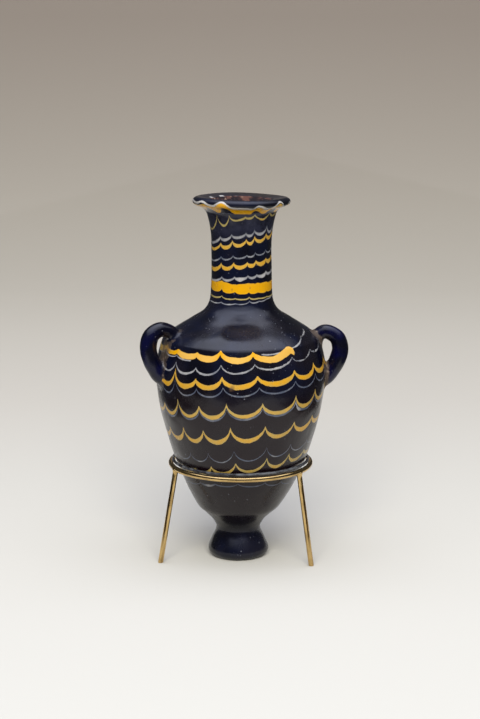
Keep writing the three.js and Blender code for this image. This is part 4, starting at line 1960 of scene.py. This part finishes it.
@dataclass
class Studio:
    """Pale paper sweep, soft lights above and in front, and the camera."""

    floor_front: float = 1.6
    floor_edge: float = 0.15
    mirrored_half_width: float = 0.13
    softbox_height: float = 1.2
    softbox_reach: tuple[float, float] = (0.85, 1.3)
    floor_back: float = 0.55
    sweep_radius: float = 0.7
    sweep_height: float = 1.8
    half_width: float = 5.0
    lens: float = 78.6
    camera_place: tuple[float, float, float] = (0.00055, -0.5075, 0.16505)
    pitch: float = 11.0
    softbox_middle: float = 0.03
    softbox_width: float = 2.6
    softbox_colour: tuple[float, float, float] = (0.93, 0.98, 1.2)
    fill_colour: tuple[float, float, float] = (1.0, 0.98, 0.93)
    air_colour: Colour = (0.95, 0.97, 1.0, 1.0)
    air_strength: float = 0.06

    # Name, distance behind the vase, depth and watts of each softbox
    softboxes: tuple[tuple[str, float, float, float], ...] = (
        ("softbox", -0.05, 1.0, 26.0),
        ("front_softbox", -0.5, 2.2, 34.0),
    )

    # Paper colours by distance behind the vase, darker towards the back: painted shade where less light
    # reaches the paper
    paper: tuple[tuple[float, Colour], ...] = (
        (-0.13, (0.468, 0.455, 0.403, 1.0)),
        (-0.008, (0.485, 0.467, 0.408, 1.0)),
        (0.092, (0.47, 0.451, 0.389, 1.0)),
        (0.239, (0.461, 0.432, 0.364, 1.0)),
        (0.555, (0.469, 0.434, 0.351, 1.0)),
        (0.80, (0.373, 0.336, 0.266, 1.0)),
        (0.935, (0.315, 0.277, 0.218, 1.0)),
        (1.04, (0.268, 0.228, 0.179, 1.0)),
    )

    def strip(
        self, name: str, profile: list[tuple[float, float]], left: float, right: float
    ) -> bpy.types.Object:
        """A strip of paper along a profile.

        Args:
            name: name of the strip.
            profile: distance behind the vase and height of each edge, in metres.
            left: where the strip starts across, in metres.
            right: where it ends across.

        Returns:
            The strip.
        """
        points = []
        for y, z in profile:
            points += [(left / MM, y / MM, z / MM), (right / MM, y / MM, z / MM)]
        faces = [(2 * k, 2 * k + 1, 2 * k + 3, 2 * k + 2) for k in range(len(profile) - 1)]
        piece = mesh_object(name, np.array(points), faces)
        return piece

    def paper_material(self) -> bpy.types.Material:
        """Matt paper with painted shade that darkens it towards the back."""
        material, nodes, shader = new_material("sweep_paper")
        near, far = self.paper[0][0], self.paper[-1][0]
        ramp = nodes.add("ShaderNodeValToRGB")
        nodes.put(ramp.inputs["Fac"], nodes.scale(nodes.split().outputs["Y"], near, far, 0.0, 1.0))
        stops = ramp.color_ramp.elements
        for place, colour in self.paper[1:-1]:
            stops.new((place - near) / (far - near)).color = colour
        stops[0].color = self.paper[0][1]
        stops[-1].color = self.paper[-1][1]
        nodes.put(shader.inputs["Base Color"], ramp.outputs["Color"])
        shader.inputs["Roughness"].default_value = 0.9
        shader.inputs["Specular IOR Level"].default_value = 0.1
        return material

    def sweep(self) -> None:
        """A floor that curves up behind into a backdrop. Its front and its sides are flagged
        off from glass and brass, which mirror the dark room there."""
        profile = [(-self.floor_edge, 0.0), (0.0, 0.0), (self.floor_back, 0.0)]
        for k in range(1, 25):
            angle = math.pi / 2.0 * k / 24.0
            out = self.sweep_radius * math.sin(angle)
            profile.append((self.floor_back + out, self.sweep_radius * (1.0 - math.cos(angle))))
        profile.append((self.floor_back + self.sweep_radius, self.sweep_height))
        front = [(-self.floor_front, 0.0), (-self.floor_edge, 0.0)]
        near, far = self.mirrored_half_width, self.half_width
        strips = {
            "sweep_middle": self.strip("sweep_middle", profile, -near, near),
            "sweep_left": self.strip("sweep_left", profile, -far, -near),
            "sweep_right": self.strip("sweep_right", profile, near, far),
            "sweep_front": self.strip("sweep_front", front, -far, far),
        }
        paper = self.paper_material()
        for name, piece in strips.items():
            piece.visible_glossy = name == "sweep_middle"
            piece.data.materials.append(paper)

    def light(
        self,
        name: str,
        place: tuple[float, float, float],
        target: tuple[float, float, float],
        size: tuple[float, float],
        power: float,
        colour: tuple[float, float, float],
        mirrored: bool = True,
    ) -> bpy.types.Object:
        """Adds a rectangular soft light.

        Args:
            name: name of the light.
            place: where it hangs.
            target: where it points.
            size: its width and height.
            power: its strength in watts.
            colour: its colour.
            mirrored: whether it shows in glass and brass.

        Returns:
            The light.
        """
        data = bpy.data.lights.new(name, "AREA")
        data.shape = "RECTANGLE"
        data.size, data.size_y = size
        data.energy = power
        data.color = colour
        lamp = bpy.data.objects.new(name, data)
        lamp.location = place
        lamp.visible_camera = False
        lamp.visible_glossy = mirrored
        aim = Vector(target) - Vector(place)
        lamp.rotation_euler = aim.to_track_quat("-Z", "Y").to_euler()
        bpy.context.scene.collection.objects.link(lamp)
        return lamp

    def soften(self, lamp: bpy.types.Object) -> None:
        """Lets the softbox fade from its middle to its edges."""
        lamp.data.use_nodes = True
        nodes = Nodes(lamp.data.node_tree)
        emission = lamp.data.node_tree.nodes["Emission"]
        across = nodes.split(nodes.add("ShaderNodeNewGeometry").outputs["Parametric"])
        faded = 1.0
        sizes = (lamp.data.size, lamp.data.size_y)
        for axis, size, reach in zip(across.outputs, sizes, self.softbox_reach):
            steep = size / (reach * self.softbox_height)
            away = nodes.times(nodes.minus(axis, 0.5), steep)
            faded = nodes.plus(faded, nodes.times(away, away))
        nodes.put(emission.inputs["Strength"], nodes.math("POWER", faded, -1.1))

    def build(self) -> None:
        """Builds the sweep, the lights and the camera."""
        scene = bpy.context.scene
        scene.view_settings.view_transform = "Standard"
        self.sweep()
        for name, behind, depth, power in self.softboxes:
            above = (self.softbox_middle, behind, self.softbox_height)
            below = (self.softbox_middle, behind, 0.0)
            size = (self.softbox_width, depth)
            self.soften(self.light(name, above, below, size, power, self.softbox_colour))
        place, target = (0.0, -1.1, 0.9), (0.0, 0.0, 0.06)
        self.light("fill", place, target, (1.0, 0.8), 28.0, self.fill_colour, mirrored=False)
        world = bpy.data.worlds.new("studio_air")
        world.use_nodes = True
        background = world.node_tree.nodes["Background"]
        background.inputs["Color"].default_value = self.air_colour
        background.inputs["Strength"].default_value = self.air_strength
        scene.world = world
        data = bpy.data.cameras.new("camera")
        data.lens = self.lens
        data.sensor_width = 36.0
        camera = bpy.data.objects.new("camera", data)
        camera.location = self.camera_place
        camera.rotation_euler = (math.radians(90.0 - self.pitch), 0.0, 0.0)
        scene.collection.objects.link(camera)
        scene.camera = camera


def dress(piece: bpy.types.Object, node: str, material: bpy.types.Material) -> None:
    """Gives a piece its material and lets it stand for its CAD node.

    Args:
        piece: the dressed piece.
        node: CAD node that it stands for.
        material: its material.
    """
    piece.data.materials.clear()
    piece.data.materials.append(material)
    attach(piece, "root")
    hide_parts(node)
    LOG.info("%s stands for %s", piece.name, node)


def main() -> None:
    """Builds the studio, the vase and its stand."""
    logging.basicConfig(level=logging.INFO, format="%(name)s: %(message)s")
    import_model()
    Studio().build()
    smudges = smudge_group()
    pits = pit_group()
    dress(Vase().build(), "vase", ThreadedGlass().build(smudges, pits))
    brass = TarnishedBrass().build(smudges)
    tubing = SoftTubing().build(smudges)
    for node, piece in Stand().build().items():
        if node == "ring_liner":
            dress(piece, node, tubing)
        else:
            dress(piece, node, brass)
    bpy.context.view_layer.update()


if __name__ == "__main__":
    main()
